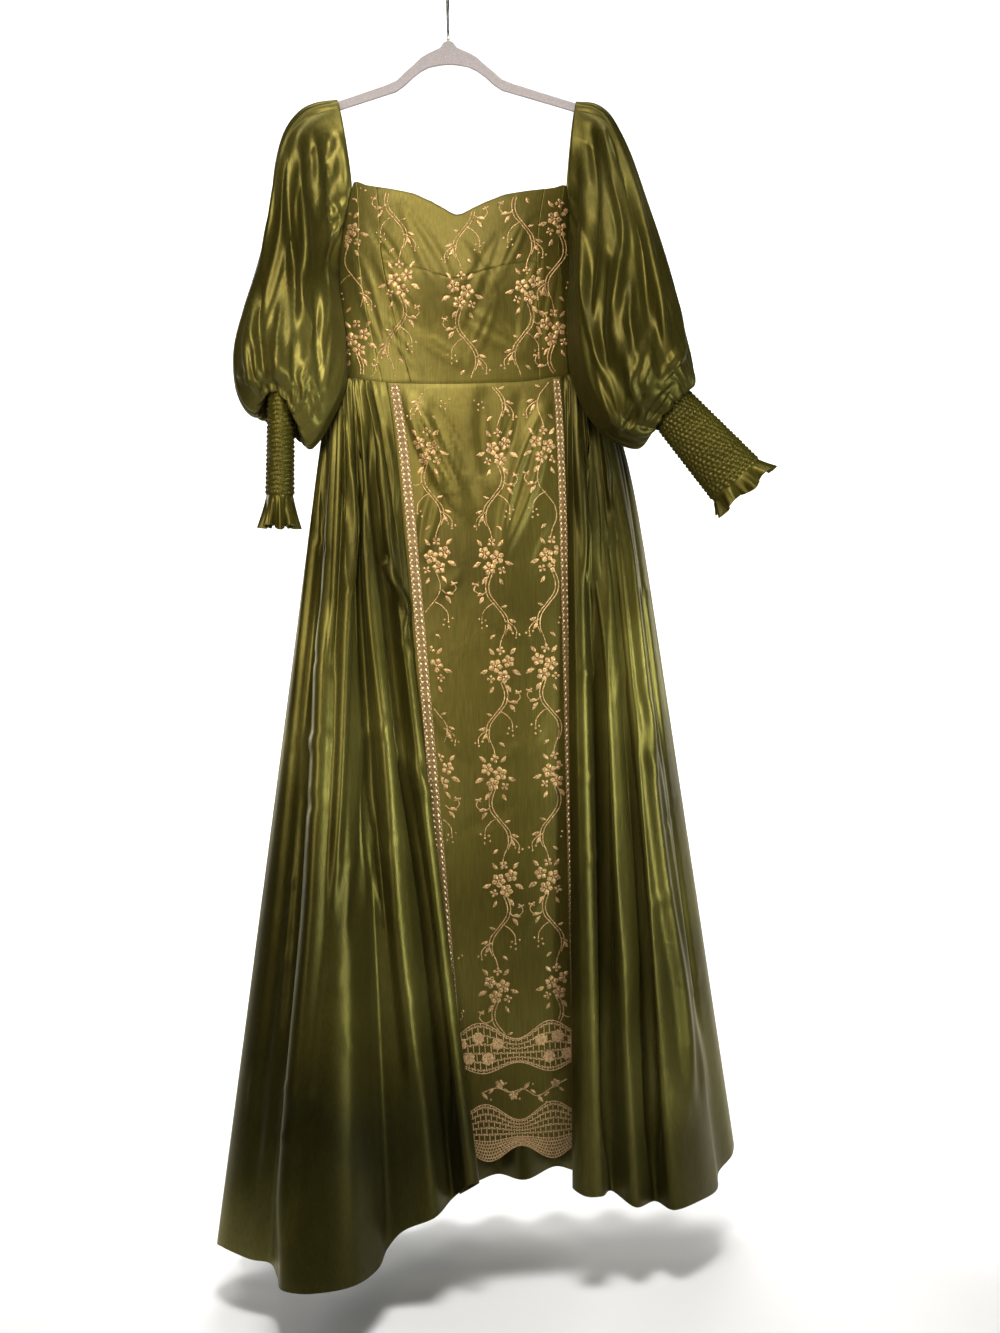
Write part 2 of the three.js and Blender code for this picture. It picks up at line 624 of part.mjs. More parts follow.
// First ring of a sleeve: over the hanger's arm, then along the bodice's armhole edge
function armholePoint(strap, turn) {
  const fromTop = turn > 180 ? 360 - turn : turn;
  const front = turn <= 180;
  const seamPoint = (share) => {
    const deg = strap.side * (SIDE + (front ? -1 : 1) * (SIDE - CORNER) * (1 - share));
    const point = bodicePoint(deg, topLevel(deg));
    const out = new THREE.Vector3(Math.sin(deg * DEGREE), -Math.cos(deg * DEGREE), 0);
    return point.addScaledVector(out, ARMHOLE_GAP);
  };
  if (fromTop >= STRAP_SPAN) return seamPoint((fromTop - STRAP_SPAN) / (180 - STRAP_SPAN));
  const corner = seamPoint(0);
  const share = fromTop / STRAP_SPAN;
  const angle = share * 90 * DEGREE;
  const x = THREE.MathUtils.lerp(strap.x, corner.x, share ** 1.3);
  const z = THREE.MathUtils.lerp(strap.z, corner.z, 1 - Math.cos(angle) ** 0.8);
  return new THREE.Vector3(x, corner.y * Math.sin(angle) ** 0.8, z);
}

function sleeveFold(turn) {
  return SLEEVE_FOLDS.reduce((height, fold) => {
    const away = Math.abs(turn - fold.deg) / fold.width;
    return height + (away < 1 ? fold.height * Math.cos((away * Math.PI) / 2) ** 2 : 0);
  }, 0);
}

function sleevePoint(row, share, turn) {
  const angle = turn * DEGREE;
  const outward = signedPower(Math.cos(angle), 2 / SLEEVE_POWER);
  const forward = signedPower(Math.sin(angle), 2 / SLEEVE_POWER);
  const x = THREE.MathUtils.lerp(row.innerX, row.outerX, (outward + 1) / 2);
  const z = THREE.MathUtils.lerp(row.innerZ, row.outerZ, (outward + 1) / 2);
  const rise = forward > 0 ? row.frontRise * forward * forward : 0;
  const fold = sleeveFold(turn) * Math.sin(share * Math.PI);
  return new THREE.Vector3(x, row.y - forward * (row.halfDepth + fold), z + rise);
}

function sleeve(rows, strap, cuffShape) {
  const cuffFrame = frameOf(cuffShape);
  const grid = gridOf(rows.length + 2, SLEEVE_COLUMNS, (row, column) => {
    const turn = (column / SLEEVE_COLUMNS) * 360;
    if (row === 0) return armholePoint(strap, turn);
    if (row <= rows.length) return sleevePoint(rows[row - 1], row / rows.length, turn);
    const angle = strap.side > 0 ? turn * DEGREE : Math.PI - turn * DEGREE;
    return cuffPoint(cuffShape, cuffFrame, -SEAM_GAP, angle, CUFF_CLEARANCE);
  });
  return clothWall(grid, -strap.side, true);
}

// Directions of a cuff: along its axis, across its flat width and through its depth
function frameOf(shape) {
  const start = new THREE.Vector3(shape.start.x, shape.start.y, shape.start.z);
  const axis = new THREE.Vector3(shape.end.x, shape.end.y, shape.end.z).sub(start);
  const length = axis.length();
  axis.normalize();
  const across = new THREE.Vector3(shape.across.x, shape.across.y, shape.across.z).normalize();
  const deep = axis.clone().cross(across).normalize();
  return { start, axis, across, deep, length };
}

function cuffPoint(shape, frame, along, angle, grown) {
  const share = THREE.MathUtils.clamp(along / frame.length, 0, 1);
  const halfAcross = THREE.MathUtils.lerp(...shape.halfAcross, share) + grown;
  const halfDeep = THREE.MathUtils.lerp(...shape.halfDeep, share) + grown;
  const point = frame.start.clone().addScaledVector(frame.axis, along);
  point.addScaledVector(frame.across, halfAcross * Math.cos(angle));
  return point.addScaledVector(frame.deep, halfDeep * Math.sin(angle));
}

// Smocked cuff with raised puffs between its rows of shirring, and its ruffled free end
function cuff(shape) {
  const frame = frameOf(shape);
  const smockRows = 2 * SMOCK_ROWS + 1;
  const side = (raised) =>
    gridOf(smockRows + RUFFLE_STEPS, CUFF_COLUMNS, (row, column) => {
      const inRuffle = Math.max(0, row - smockRows + 1) / RUFFLE_STEPS;
      const along = Math.min(1, row / (smockRows - 1)) * frame.length + inRuffle * shape.ruffle;
      const angle = ((column + 0.5) / CUFF_COLUMNS) * 2 * Math.PI;
      const raisedHere = raised && row % 2 === 1 && row < smockRows;
      const fullness = (column + (row - 1) / 2) % 2 === 0 ? 1 : 0.35;
      const puff = raisedHere ? SMOCK_HEIGHT * fullness : 0;
      const turn = ((column * RUFFLE_WAVES) / CUFF_COLUMNS) * 2 * Math.PI;
      const flare = (shape.ruffleFlare + Math.cos(turn) * RUFFLE_WAVE_HEIGHT) * inRuffle;
      return cuffPoint(shape, frame, along, angle, (raised ? puff : -CLOTH) + flare);
    });
  return wallBetween(side(true), side(false), true);
}

function hangerBody() {
  const right = [];
  const left = [];
  HANGER_ARM.forEach((row) => right.push(new THREE.Vector2(row.x, row.top)));
  right.push(new THREE.Vector2(ARM_END.x, ARM_END.z));
  HANGER_ARM.slice().reverse().forEach((row) => right.push(new THREE.Vector2(row.x, row.bottom)));
  right.slice(1, -1).reverse().forEach((point) => left.push(new THREE.Vector2(-point.x, point.y)));
  const shape = new THREE.Shape([...right, ...left]);
  const geometry = new THREE.ExtrudeGeometry(shape, {
    depth: HANGER_THICK - 2 * HANGER_BEVEL,
    bevelEnabled: true,
    bevelThickness: HANGER_BEVEL,
    bevelSize: HANGER_BEVEL,
    bevelOffset: -HANGER_BEVEL,
    bevelSegments: 1,
  });
  geometry.translate(0, 0, HANGER_BEVEL - HANGER_THICK / 2);
  geometry.rotateX(Math.PI / 2);
  return geometry;
}

// Wire hook in the plane across the hanger, its curl's inside top at the origin
function hook() {
  const centre = WIRE_RADIUS - HOOK_RADIUS;
  const route = [
    new THREE.Vector3(0, 0, HANGER_ARM[0].top + SEAM_GAP),
    new THREE.Vector3(0, 0, HANGER_ARM[0].top + 9),
    new THREE.Vector3(0, -4, HOOK_SWAY_LEVEL),
    new THREE.Vector3(0, -16, HOOK_SWAY_LEVEL + 14),
  ];
  for (let deg = 180; deg >= -30; deg -= 30) {
    const angle = deg * DEGREE;
    route.push(new THREE.Vector3(0, HOOK_RADIUS * Math.cos(angle), centre + HOOK_RADIUS * Math.sin(angle)));
  }
  const section = new THREE.Shape();
  section.absarc(0, 0, WIRE_RADIUS, 0, 2 * Math.PI);
  return new THREE.ExtrudeGeometry(section, {
    steps: 28,
    curveSegments: 4,
    bevelEnabled: false,
    extrudePath: new THREE.CatmullRomCurve3(route),
  });
}

const gown = new THREE.Group();

function add(name, geometry, material) {
  const mesh = new THREE.Mesh(geometry, material);
  mesh.name = name;
  gown.add(mesh);
}

const cupShares = BODICE_SHARES.slice(CUP_SEAM_SHARE);
const midriffShares = BODICE_SHARES.slice(0, CUP_SEAM_SHARE + 1);
add("bodice_centre_upper", bodicePanel(CENTRE_FRONT, cupShares), embroideredSatin);
add("bodice_centre_lower", bodicePanel(CENTRE_FRONT, midriffShares), embroideredSatin);
BODICE_PANELS.forEach((panel) => {
  const embroidered = panel.name.includes("side_front");
  add(panel.name, bodicePanel(panel), embroidered ? embroideredSatin : satin);
});
skirtPieces().forEach((piece) => add(piece.name, piece.geometry, satin));
add("skirt_front_panel", frontPanel(), embroideredSatin);
add("braid_left", braid(-1), goldBraid);
add("braid_right", braid(1), goldBraid);
LACE_BANDS.forEach((band) => add(band.name, laceBand(band), goldLace));
add("sleeve_left", sleeve(SLEEVE_LEFT, STRAP_LEFT, CUFF_LEFT), satin);
add("sleeve_right", sleeve(SLEEVE_RIGHT, STRAP_RIGHT, CUFF_RIGHT), satin);
add("cuff_left", cuff(CUFF_LEFT), shirredSatin);
add("cuff_right", cuff(CUFF_RIGHT), shirredSatin);
add("hanger_body", hangerBody(), flocking);
add("hanger_hook", hook(), steelWire);

export default gown;
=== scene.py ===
"""Floor-length satin gown with bishop sleeves, hanging on a slim flocked hanger.

Lengths in the tables are millimetres in the part's frame, and meshes are in metres. +Z is up, the front
faces -Y, and left and right are as seen from the front.
"""
import math

import bmesh
import bpy
import numpy as np
from mathutils import Matrix, Vector


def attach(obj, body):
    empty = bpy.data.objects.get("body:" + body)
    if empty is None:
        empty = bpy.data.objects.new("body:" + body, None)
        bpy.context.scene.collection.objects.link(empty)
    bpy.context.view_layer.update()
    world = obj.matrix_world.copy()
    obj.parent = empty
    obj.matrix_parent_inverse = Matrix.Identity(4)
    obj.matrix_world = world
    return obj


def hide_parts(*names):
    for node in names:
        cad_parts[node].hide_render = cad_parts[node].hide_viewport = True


bl_info = {
    "name": "Satin gown on its hanger",
    "version": (1, 0, 0),
    "blender": (4, 5, 0),
    "location": "View3D > Sidebar > Gown",
    "description": "Dresses the packed gown in satin, smocking, embroidery, braid and lace",
    "category": "Object",
}

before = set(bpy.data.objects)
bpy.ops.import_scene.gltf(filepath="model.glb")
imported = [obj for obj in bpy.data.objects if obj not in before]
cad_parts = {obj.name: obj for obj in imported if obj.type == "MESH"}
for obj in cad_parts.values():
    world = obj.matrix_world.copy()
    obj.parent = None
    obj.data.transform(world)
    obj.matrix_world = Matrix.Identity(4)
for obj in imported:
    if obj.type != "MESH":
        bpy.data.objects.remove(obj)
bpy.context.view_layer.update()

MM = 0.001
DEG = math.pi / 180

# Bodice section at each level: z, x of its centre, half width, half depth
BODICE = np.array([
    (-520, 8, 166, 52), (-440, 6, 160, 54), (-380, 5, 156, 57),
    (-336, 5, 152, 50), (-298, 9, 149, 43), (-255, 13, 150, 36),
], float)
# Squareness of that section: 2 is an ellipse
SECTION_POWER = 2.4
# Slope of the top edge down towards the right, and the bodice's half width there
BODICE_TILT, TOP_HALF_WIDTH = -0.03, 149
# Waist seam: its level at the sides, and how far it dips in front and at the back
WAIST_LEVEL, WAIST_DIP_FRONT, WAIST_DIP_BACK = -500, 15, 8
# Seam under the cups, as a share of the bodice's height
CUP_SEAM_SHARE = 0.617
# Armhole: its front corner and its lowest point, in degrees from centre front
CORNER, SIDE = 68, 90
# Pucker along the seams: height, distance from the seam over which it fades, and the length of a degree
# round the bodice
PUCKER_HEIGHT, PUCKER_REACH, DEGREE_LENGTH = 0.55, 5, 1.9

# Top edge: degrees from centre front, z
TOP_EDGE = np.array([
    (0, -298), (5, -289), (10, -281), (19, -271), (32, -265), (50, -260), (66, -256), (74, -281),
    (82, -317), (90, -336), (99, -319), (108, -290), (116, -277), (145, -283), (180, -287),
], float)

# Bodice panels: node, seams at the top, seams at the waist, share of the height from and to
BODICE_PANELS = (
    ("bodice_centre_upper", (-43, 43.5), (-18, 35), CUP_SEAM_SHARE, 1),
    ("bodice_centre_lower", (-43, 43.5), (-18, 35), 0, CUP_SEAM_SHARE),
    ("bodice_side_front_left", (-62, -43), (-33, -18), 0, 1),
    ("bodice_side_front_right", (43.5, 62), (35, 56), 0, 1),
    ("bodice_side_left", (-90, -62), (-94, -33), 0, 1),
    ("bodice_side_right", (62, 90), (56, 92), 0, 1),
    ("bodice_back_left", (-180, -90), (-180, -94), 0, 1),
    ("bodice_back_right", (90, 180), (92, 180), 0, 1),
)

# Skirt fold lines: degrees at the waist, then x, y and z at the hem, from the front panel's left
# edge round the back to its right edge
SKIRT_FOLDS = np.array([
    (-31, -6, -97, -1590), (-41, 24, -121, -1566), (-44, 8, -138, -1564), (-47, -16, -113, -1590),
    (-52, -38, -160, -1596), (-56, -79, -165, -1610), (-59, -101, -168, -1631),
    (-62, -112, -205, -1642), (-66, -139, -257, -1640), (-70, -187, -276, -1640),
    (-73, -224, -260, -1642), (-76, -235, -218, -1644), (-80, -248, -182, -1642),
    (-84, -276, -166, -1643), (-89, -314, -134, -1641), (-94, -325, -95, -1649),
    (-101, -299, -52, -1648), (-108, -312, -8, -1648), (-115, -270, 22, -1650),
    (-122, -268, 68, -1652), (-129, -220, 66, -1655), (-137, -204, 114, -1658),
    (-146, -158, 98, -1662), (-155, -128, 148, -1665), (-163, -84, 124, -1668),
    (-171, -42, 162, -1670), (-180, 0, 140, -1670), (-189, 42, 174, -1670),
    (-197, 82, 146, -1668), (-205, 126, 188, -1665), (-213, 164, 158, -1660),
    (-221, 206, 202, -1655), (-229, 240, 166, -1648), (-237, 284, 206, -1640),
    (-244, 310, 166, -1630), (-251, 352, 188, -1618), (-259, 360, 148, -1606),
    (-268, 384, 120, -1598), (-271, 378, 76, -1606), (-273, 352, 26, -1612),
    (-276, 344, -12, -1622), (-279, 318, -58, -1618), (-283, 278, -96, -1616),
    (-287, 255, -70, -1614), (-291, 226, -112, -1605), (-294, 197, -80, -1595),
    (-297, 183, -116, -1588), (-300, 160, -124, -1585), (-303, 143, -104, -1581),
    (-304, 151, -88, -1581), (-309.4, 166, -72, -1582),
], float)
SKIRT_PIECES = (
    ("skirt_side_front_left", 0, 15), ("skirt_back_left", 15, 26),
    ("skirt_back_right", 26, 37), ("skirt_side_front_right", 37, 50),
)
# Drop over which a fold line goes from the waist to its point at the hem
SKIRT_DROP = 1100
# Share of its way outwards that a fold line goes just below the waist, how much more that is on the right
# and less on the left, and the drop that it takes
QUICK_FLARE, QUICK_FLARE_SWAY, FLARE_LENGTH = 0.135, 0.09, 60
# Gathers below the waist seam: height, length over which they fade, pace along the fold lines, and how
# much and how fast that pace sways
GATHERS = ((8.5, 230, 1.95, 0.9, 0.8), (3.6, 80, 3.7, 1.2, 1.3))
# Drop over which the gathers rise out of the seam
GATHER_START = 18

# Front panel: its two edges as fold lines, how far its middle bows out at the hem, the gap in its
# side seams and its width at the waist
PANEL_LEFT = SKIRT_FOLDS[0]
PANEL_RIGHT = np.array([50.6, *SKIRT_FOLDS[-1][1:]])
PANEL_BOW = 10
PANEL_GAP, PANEL_WIDTH = 0.3, 170
# Its soft hanging folds: height at the waist, and the length over which they fade
PANEL_FOLD_HEIGHT, PANEL_FOLD_REACH = 1.3, 500

# Lace bands: level of the top and the bottom edge, height of their scallops
UPPER_BAND = (-1369, -1419, 11, 7)
LOWER_BAND = (-1479, -1535, 11, 10)
# Width of one scallop, and x of a crest
SCALLOP_PITCH, SCALLOP_CREST = 87, 32

# Sleeve rings: outer x and z, inner x and z, middle depth, half depth, rise at the front
SLEEVE_LEFT = np.array([
    (-174, -147, -154, -340, -2, 20, 0), (-196, -158, -159, -354, -5, 27, 0),
    (-215, -184, -162, -382, -12, 35, 0), (-227, -228, -157, -415, -20, 43, 0),
    (-235, -293, -153, -448, -28, 50, 0), (-252, -357, -152, -481, -36, 55, 0),
    (-271, -416, -153, -507, -46, 56, 6), (-283, -467, -158, -533, -56, 55, 20),
    (-282, -513, -167, -559, -64, 52, 38), (-271, -543, -177, -583, -66, 46, 54),
    (-256, -554, -188, -597, -66, 40, 60), (-247, -542, -194.5, -582, -66, 39, 35),
], float)
SLEEVE_RIGHT = np.array([
    (190, -153, 162, -341, -2, 20, 0), (208, -166, 166, -358, -6, 27, 0),
    (222, -191, 166, -387, -14, 35, 0), (237, -228, 164, -422, -22, 43, 0),
    (254, -281, 164, -460, -32, 50, 0), (271, -336, 166, -496, -44, 54, 0),
    (286, -393, 174, -532, -58, 55, 0), (297, -446, 190, -565, -70, 52, 0),
    (306, -484, 207, -588, -76, 46, 6), (309, -503, 226, -600, -78, 38, 14),
    (311, -514, 241, -602, -78, 30, 14), (309, -523, 250, -589, -78, 24, 6),
], float)
# Squareness of a sleeve's rings
SLEEVE_POWER = 2.2
# How far the soft sleeve leans over the bodice's side
SLEEVE_CLOSE = 14
# Straps: side, x and z of their top on the hanger's arm
STRAP_LEFT = (-1, -147, -142.8)
STRAP_RIGHT = (1, 166, -149.35)
# Degrees of a sleeve's first ring from the strap's top to the armhole's corner, and its gap to the bodice
STRAP_SPAN = 102
ARMHOLE_GAP = 0.4

# Hook: radius of the wire, radius of the curl, stem's points in y, z
WIRE_RADIUS, HOOK_RADIUS = 1.6, 20
HOOK_STEM = ((0, -69.7), (0, -61), (-4, -50), (-16, -36))

# Soft folds of a sleeve's rings: turn round the sleeve, half width in degrees, height
SLEEVE_FOLDS = ((48, 17, 8), (92, 19, 9), (138, 17, 7), (225, 18, 8), (285, 19, 8))
# Gathers of a sleeve: height at its head, at its cuff and in between
HEAD_GATHERS, FOOT_GATHERS, SLEEVE_RIDGES = 4.5, 8.0, -3.0

# Cuffs: start and end of the axis, direction across, half sizes across and deep at both ends, length and
# flare of the ruffle, puffs round the cuff
CUFF_LEFT = {
    "start": (-222, -66, -519), "end": (-227, -68, -655), "across": (1, 0, -0.04),
    "half_across": (15, 17), "half_deep": (32, 28), "ruffle": 42, "flare": 5, "columns": 46,
}
CUFF_RIGHT = {
    "start": (278, -78, -546), "end": (363, -80, -643), "across": (0.752, 0, 0.659),
    "half_across": (30, 39), "half_deep": (15, 14), "ruffle": 22, "flare": 6, "columns": 30,
}
# Rows of smocking, height of their puffs, and the share of a cuff's mesh that its ruffle takes
SMOCK_ROWS, SMOCK_PUFF, RUFFLE_SHARE = 23, 2.2, 0.2
# Thickness of the cuffs' cloth, of embroidery thread, and of braid and lace cord
CUFF_THICKNESS, THREAD_THICKNESS, CORD_THICKNESS = 0.7, 0.25, 0.35

# Creases pressed and hung into the cloth: x and z of both ends, half width, height out of the cloth
PANEL_CREASES = (
    (-64, -525, 19, -692, 11, 5.0), (122, -538, 58, -744, 11, 4.6), (-30, -536, 30, -666, 8, -4.0),
    (87, -531, 60, -627, 8, -3.6), (18, -796, 96, -850, 8, 1.8), (-19, -626, -47, -743, 9, 3.0),
    (-43, -914, 15, -1009, 7, 1.8), (54, -1009, 114, -970, 7, 1.6), (0, -1103, 80, -1063, 7, -1.6),
    (105, -1199, 51, -1280, 8, 1.6), (40, -520, 46, -640, 14, -3.4), (-48, -640, 70, -652, 6, 1.8),
    (-30, -790, 10, -760, 6, 1.6), (100, -760, 130, -700, 6, -1.8), (60, -1240, 110, -1200, 6, 1.2),
)
BODICE_CREASES = (
    (-101, -344, -28, -446, 9, 1.5), (-64, -281, 23, -447, 10, 1.1), (-15, -408, 113, -486, 9, 1.4),
    (64, -321, -3, -472, 9, -1.1), (122, -334, 87, -486, 8, 1.2), (-129, -331, -87, -471, 8, 1.2),
    (141, -360, 124, -487, 7, 1.3), (-150, -406, -133, -489, 7, 1.2), (-54, -446, 23, -495, 7, 1.4),
    (30, -340, 90, -470, 8, -1.0), (-110, -300, -60, -370, 7, -1.0), (10, -330, 40, -372, 7, 1.0),
    (60, -400, 20, -490, 6, 1.1), (-80, -400, -60, -500, 6, -1.0), (-96, -420, -40, -500, 5, 1.2),
    (100, -300, 60, -380, 7, 1.0),
)
SKIRT_CREASES = (
    (-226, -981, -157, -966, 7, 3.0), (-128, -972, -78, -950, 7, 2.6), (-84, -845, -53, -865, 6, 2.4),
    (-223, -1401, -167, -1419, 8, 2.6), (-224, -1464, -183, -1454, 7, 2.2),
    (-221, -1528, -180, -1509, 7, 2.4), (-158, -1134, -129, -1115, 7, 2.2),
    (-163, -792, -134, -773, 7, 2.4), (-79, -983, -38, -1056, 8, 4.0), (-117, -1195, -81, -1209, 7, 2.0),
    (-279, -1458, -257, -1376, 8, 2.4), (-133, -625, -121, -741, 6, 2.0), (-94, -561, -81, -690, 7, 2.6),
    (-174, -1269, -145, -1256, 7, 2.2), (-76, -1324, -49, -1304, 7, 2.2),
    (-231, -1160, -211, -1147, 7, 2.0), (152, -888, 188, -896, 6, 2.4), (148, -1033, 184, -1026, 6, 2.4),
    (156, -1141, 188, -1132, 6, 2.2), (238, -918, 259, -1042, 7, 2.4), (203, -931, 225, -852, 7, 2.0),
    (252, -1208, 276, -1188, 7, 2.4), (305, -1339, 334, -1318, 7, 2.2), (184, -1282, 218, -1303, 7, 2.2),
    (224, -1420, 258, -1410, 7, 2.2), (170, -694, 183, -799, 7, 2.2), (196, -629, 209, -747, 7, 2.4),
    (278, -1449, 304, -1505, 7, 2.2), (-200, -700, -160, -735, 6, -2.0), (-190, -860, -150, -880, 6, -2.2),
    (-210, -1060, -160, -1040, 7, -2.2), (-150, -1340, -110, -1370, 8, 2.0),
    (270, -1110, 300, -1090, 6, -2.0), (-250, -1250, -205, -1265, 7, 2.0),
    (-110, -1090, -70, -1120, 7, -2.2), (240, -780, 262, -800, 6, 2.0),
)
BACK_CREASES = (
    (-220, -960, -160, -985, 7, 2.4), (-120, -870, -60, -850, 7, 2.2), (-40, -1120, 20, -1145, 8, 2.4),
    (60, -940, 120, -965, 7, 2.2), (150, -1220, 210, -1190, 8, 2.4), (230, -1010, 280, -1040, 7, 2.2),
    (-240, -1340, -180, -1310, 8, 2.4), (-100, -1400, -30, -1425, 8, 2.2), (40, -1500, 110, -1470, 8, 2.4),
    (200, -1440, 280, -1470, 8, 2.2), (-150, -700, -130, -800, 7, 2.2), (90, -640, 110, -760, 7, 2.0),
    (-70, -600, -60, -690, 6, 2.0), (170, -620, 190, -740, 7, 2.2), (300, -1250, 340, -1225, 7, 2.2),
)
BACK_BODICE_CREASES = (
    (-110, -330, -50, -440, 10, 2.0), (-20, -300, -60, -400, 9, -1.6), (40, -320, 100, -430, 10, 2.0),
    (20, -420, 80, -490, 9, 1.8), (-120, -430, -60, -495, 8, 1.6),
)
# Long folds of the skirt: half width at the waist, height (valleys below 0), points of the line in x, z
FRONT_FOLDS = (
    (7, -10, ((-128, -515), (-126, -657), (-124, -807), (-118, -952), (-107, -1123), (-92, -1249))),
    (6, -13, ((-112, -555), (-105, -686), (-91, -808), (-75, -988), (-57, -1124), (-37, -1299),
              (-14, -1523))),
    (5, -7, ((-141, -534), (-145, -663), (-152, -792), (-161, -907))),
    (9, -7, ((-163, -554), (-175, -663), (-182, -771), (-197, -915), (-210, -1121), (-221, -1297),
             (-225, -1421))),
    (9, -6, ((-172, -572), (-185, -688), (-198, -842), (-219, -1045), (-241, -1247),
             (-264, -1421), (-280, -1593))),
    (8, 8, ((-136, -555), (-134, -735), (-142, -807), (-151, -1022), (-164, -1210))),
    (11, 8, ((-120, -645), (-112, -808), (-100, -934), (-93, -1023), (-81, -1236), (-54, -1486))),
    (13, 11, ((-170, -771), (-174, -951), (-181, -1084), (-189, -1210), (-209, -1397),
              (-225, -1545), (-234, -1652))),
    (10, 6, ((-96, -573), (-90, -686), (-88, -780))),
    (6, 8, ((-101, -715), (-83, -761), (-66, -808), (-70, -838))),
    (8, -7, ((-118, -960), (-120, -1034), (-125, -1123), (-138, -1235))),
    (7, -17, ((178, -551), (184, -650), (188, -795), (188, -961), (189, -1057), (190, -1192),
              (191, -1393), (193, -1582))),
    (7, -16, ((207, -622), (211, -741), (222, -888), (232, -1057), (240, -1193), (248, -1367),
              (255, -1597))),
    (12, 8, ((159, -560), (163, -631), (176, -740), (180, -800))),
    (11, 8, ((195, -668), (202, -814), (210, -961), (216, -1057), (225, -1193), (229, -1393))),
    (9, 10, ((217, -632), (228, -741), (237, -832), (250, -962), (257, -1058), (273, -1193),
             (296, -1341), (310, -1516))),
    (7, 6, ((265, -943), (279, -1058), (301, -1247), (324, -1435), (342, -1530))),
    (6, -9, ((241, -741), (258, -877), (274, -1008), (289, -1127), (312, -1301), (329, -1462))),
)
BACK_FOLDS = (
    (7, -13, ((-130, -540), (-150, -800), (-175, -1100), (-205, -1450))),
    (10, 8, ((-95, -540), (-110, -850), (-130, -1200), (-150, -1550))),
    (7, -12, ((-60, -530), (-70, -800), (-85, -1150), (-95, -1500))),
    (9, 6, ((-28, -530), (-36, -760), (-44, -1010), (-52, -1300))),
    (7, -13, ((10, -530), (14, -850), (25, -1200), (30, -1500))),
    (10, 8, ((45, -540), (60, -900), (80, -1300), (95, -1560))),
    (7, -12, ((85, -540), (115, -850), (145, -1200), (175, -1500))),
    (10, 8, ((115, -545), (150, -850), (190, -1200), (225, -1540))),
    (7, -13, ((140, -550), (185, -850), (235, -1200), (275, -1500))),
)
# How much wider a long fold is at the hem, and the length over which its ends fade
FOLD_GROWTH, FOLD_FADE = 0.8, 125
# Creases of the sleeves, as PANEL_CREASES
SLEEVE_CREASES = (
    (-160, -190, -143, -285, 7, -4.5), (-150, -205, -165, -270, 6, 3.6), (-146, -185, -137, -270, 5, 3.2),
    (-170, -262, -140, -305, 6, 2.8), (-217, -372, -190, -380, 5, 2.6), (-261, -430, -248, -533, 7, 3.4),
    (-205, -560, -180, -480, 6, 3.0), (-172, -352, -148, -366, 5, 2.4), (-276, -500, -240, -520, 5, 2.4),
    (-228, -440, -214, -505, 6, 3.2), (-186, -505, -172, -565, 6, -3.6), (-150, -430, -158, -520, 7, -3.2),
    (185, -340, 205, -352, 5, 2.4), (255, -451, 222, -565, 7, 3.2), (285, -400, 292, -500, 6, 3.0),
    (180, -470, 215, -590, 6, 3.0), (190, -420, 230, -470, 5, -2.6), (285, -520, 240, -580, 6, -3.0),
    (300, -470, 262, -520, 6, 3.2), (205, -190, 222, -250, 5, -2.6), (246, -470, 258, -520, 6, 3.0),
)
# Long folds of the sleeves, as FRONT_FOLDS
SLEEVE_LINES = (
    (9, -8, ((-210, -185), (-207, -257), (-206, -306), (-201, -362), (-199, -418), (-196, -475))),
    (9, 7, ((-196, -180), (-193, -252), (-188, -294), (-184, -345), (-186, -390))),
    (9, 6, ((-188, -360), (-190, -408), (-178, -447), (-176, -490))),
    (8, 6, ((-177, -180), (-172, -228), (-171, -270), (-169, -318))),
    (9, -7, ((-163, -215), (-158, -275), (-153, -321), (-158, -352), (-164, -400))),
    (8, -7, ((-196, -446), (-198, -488), (-195, -545))),
    (8, -7, ((-174, -380), (-171, -425), (-174, -460), (-168, -492), (-166, -540))),
    (8, -6, ((-243, -345), (-245, -424), (-241, -477), (-236, -530))),
    (9, 6, ((-219, -214), (-226, -266), (-235, -332), (-243, -374), (-253, -423), (-260, -480))),
    (8, 6, ((-216, -400), (-219, -460), (-222, -520))),
    (9, -8, ((184, -165), (187, -258), (184, -330), (178, -394), (175, -455))),
    (8, 7, ((171, -200), (174, -285), (170, -353), (172, -421), (189, -494), (210, -575))),
    (10, 7, ((198, -180), (211, -259), (221, -326), (212, -385), (205, -444), (212, -515))),
    (9, -7, ((213, -195), (231, -280), (241, -335), (247, -394), (253, -475))),
    (9, 7, ((229, -225), (244, -307), (259, -376), (268, -431), (272, -495))),
    (8, -7, ((201, -345), (194, -394), (190, -449), (197, -525))),
    (8, -6, ((262, -330), (279, -421), (286, -490))),
    (8, -6, ((242, -515), (231, -559), (212, -590))),
    (8, 6, ((218, -480), (231, -531), (246, -575))),
    (7, 5, ((232, -380), (226, -440), (234, -500))),
)

# Embroidered vines: x of the stem, level of the first blossoms, how many, lean of the first one
PANEL_VINES = ((-30, -600, 6, -1), (52, -602, 6, 1), (121, -600, 6, -1))
BODICE_VINES = (
    (-72, -384, 1, 1), (18, -400, 1, -1), (93, -394, 1, 1), (-130, -316, 2, -1),
    (137, -306, 2, 1),
)
# Height of one repeat of a vine, how far it sways to either side, and width and height of its stems
VINE_PITCH, VINE_SWAY = 142, 6
STEM_WIDTH, STEM_HEIGHT = 1.4, 0.5

# One repeat of the vine about its blossoms, x towards its lean and d down the cloth.
# Blossoms: x, d, radius, petals, turn
BLOSSOMS = (
    (-8, -3, 9.5, 5, 0.2), (9, -9, 8.5, 5, 0.9), (3, 11, 9, 5, 1.5), (-13, 14, 5.5, 4, 0.4),
    (-1, -23, 6, 4, 0.1),
)
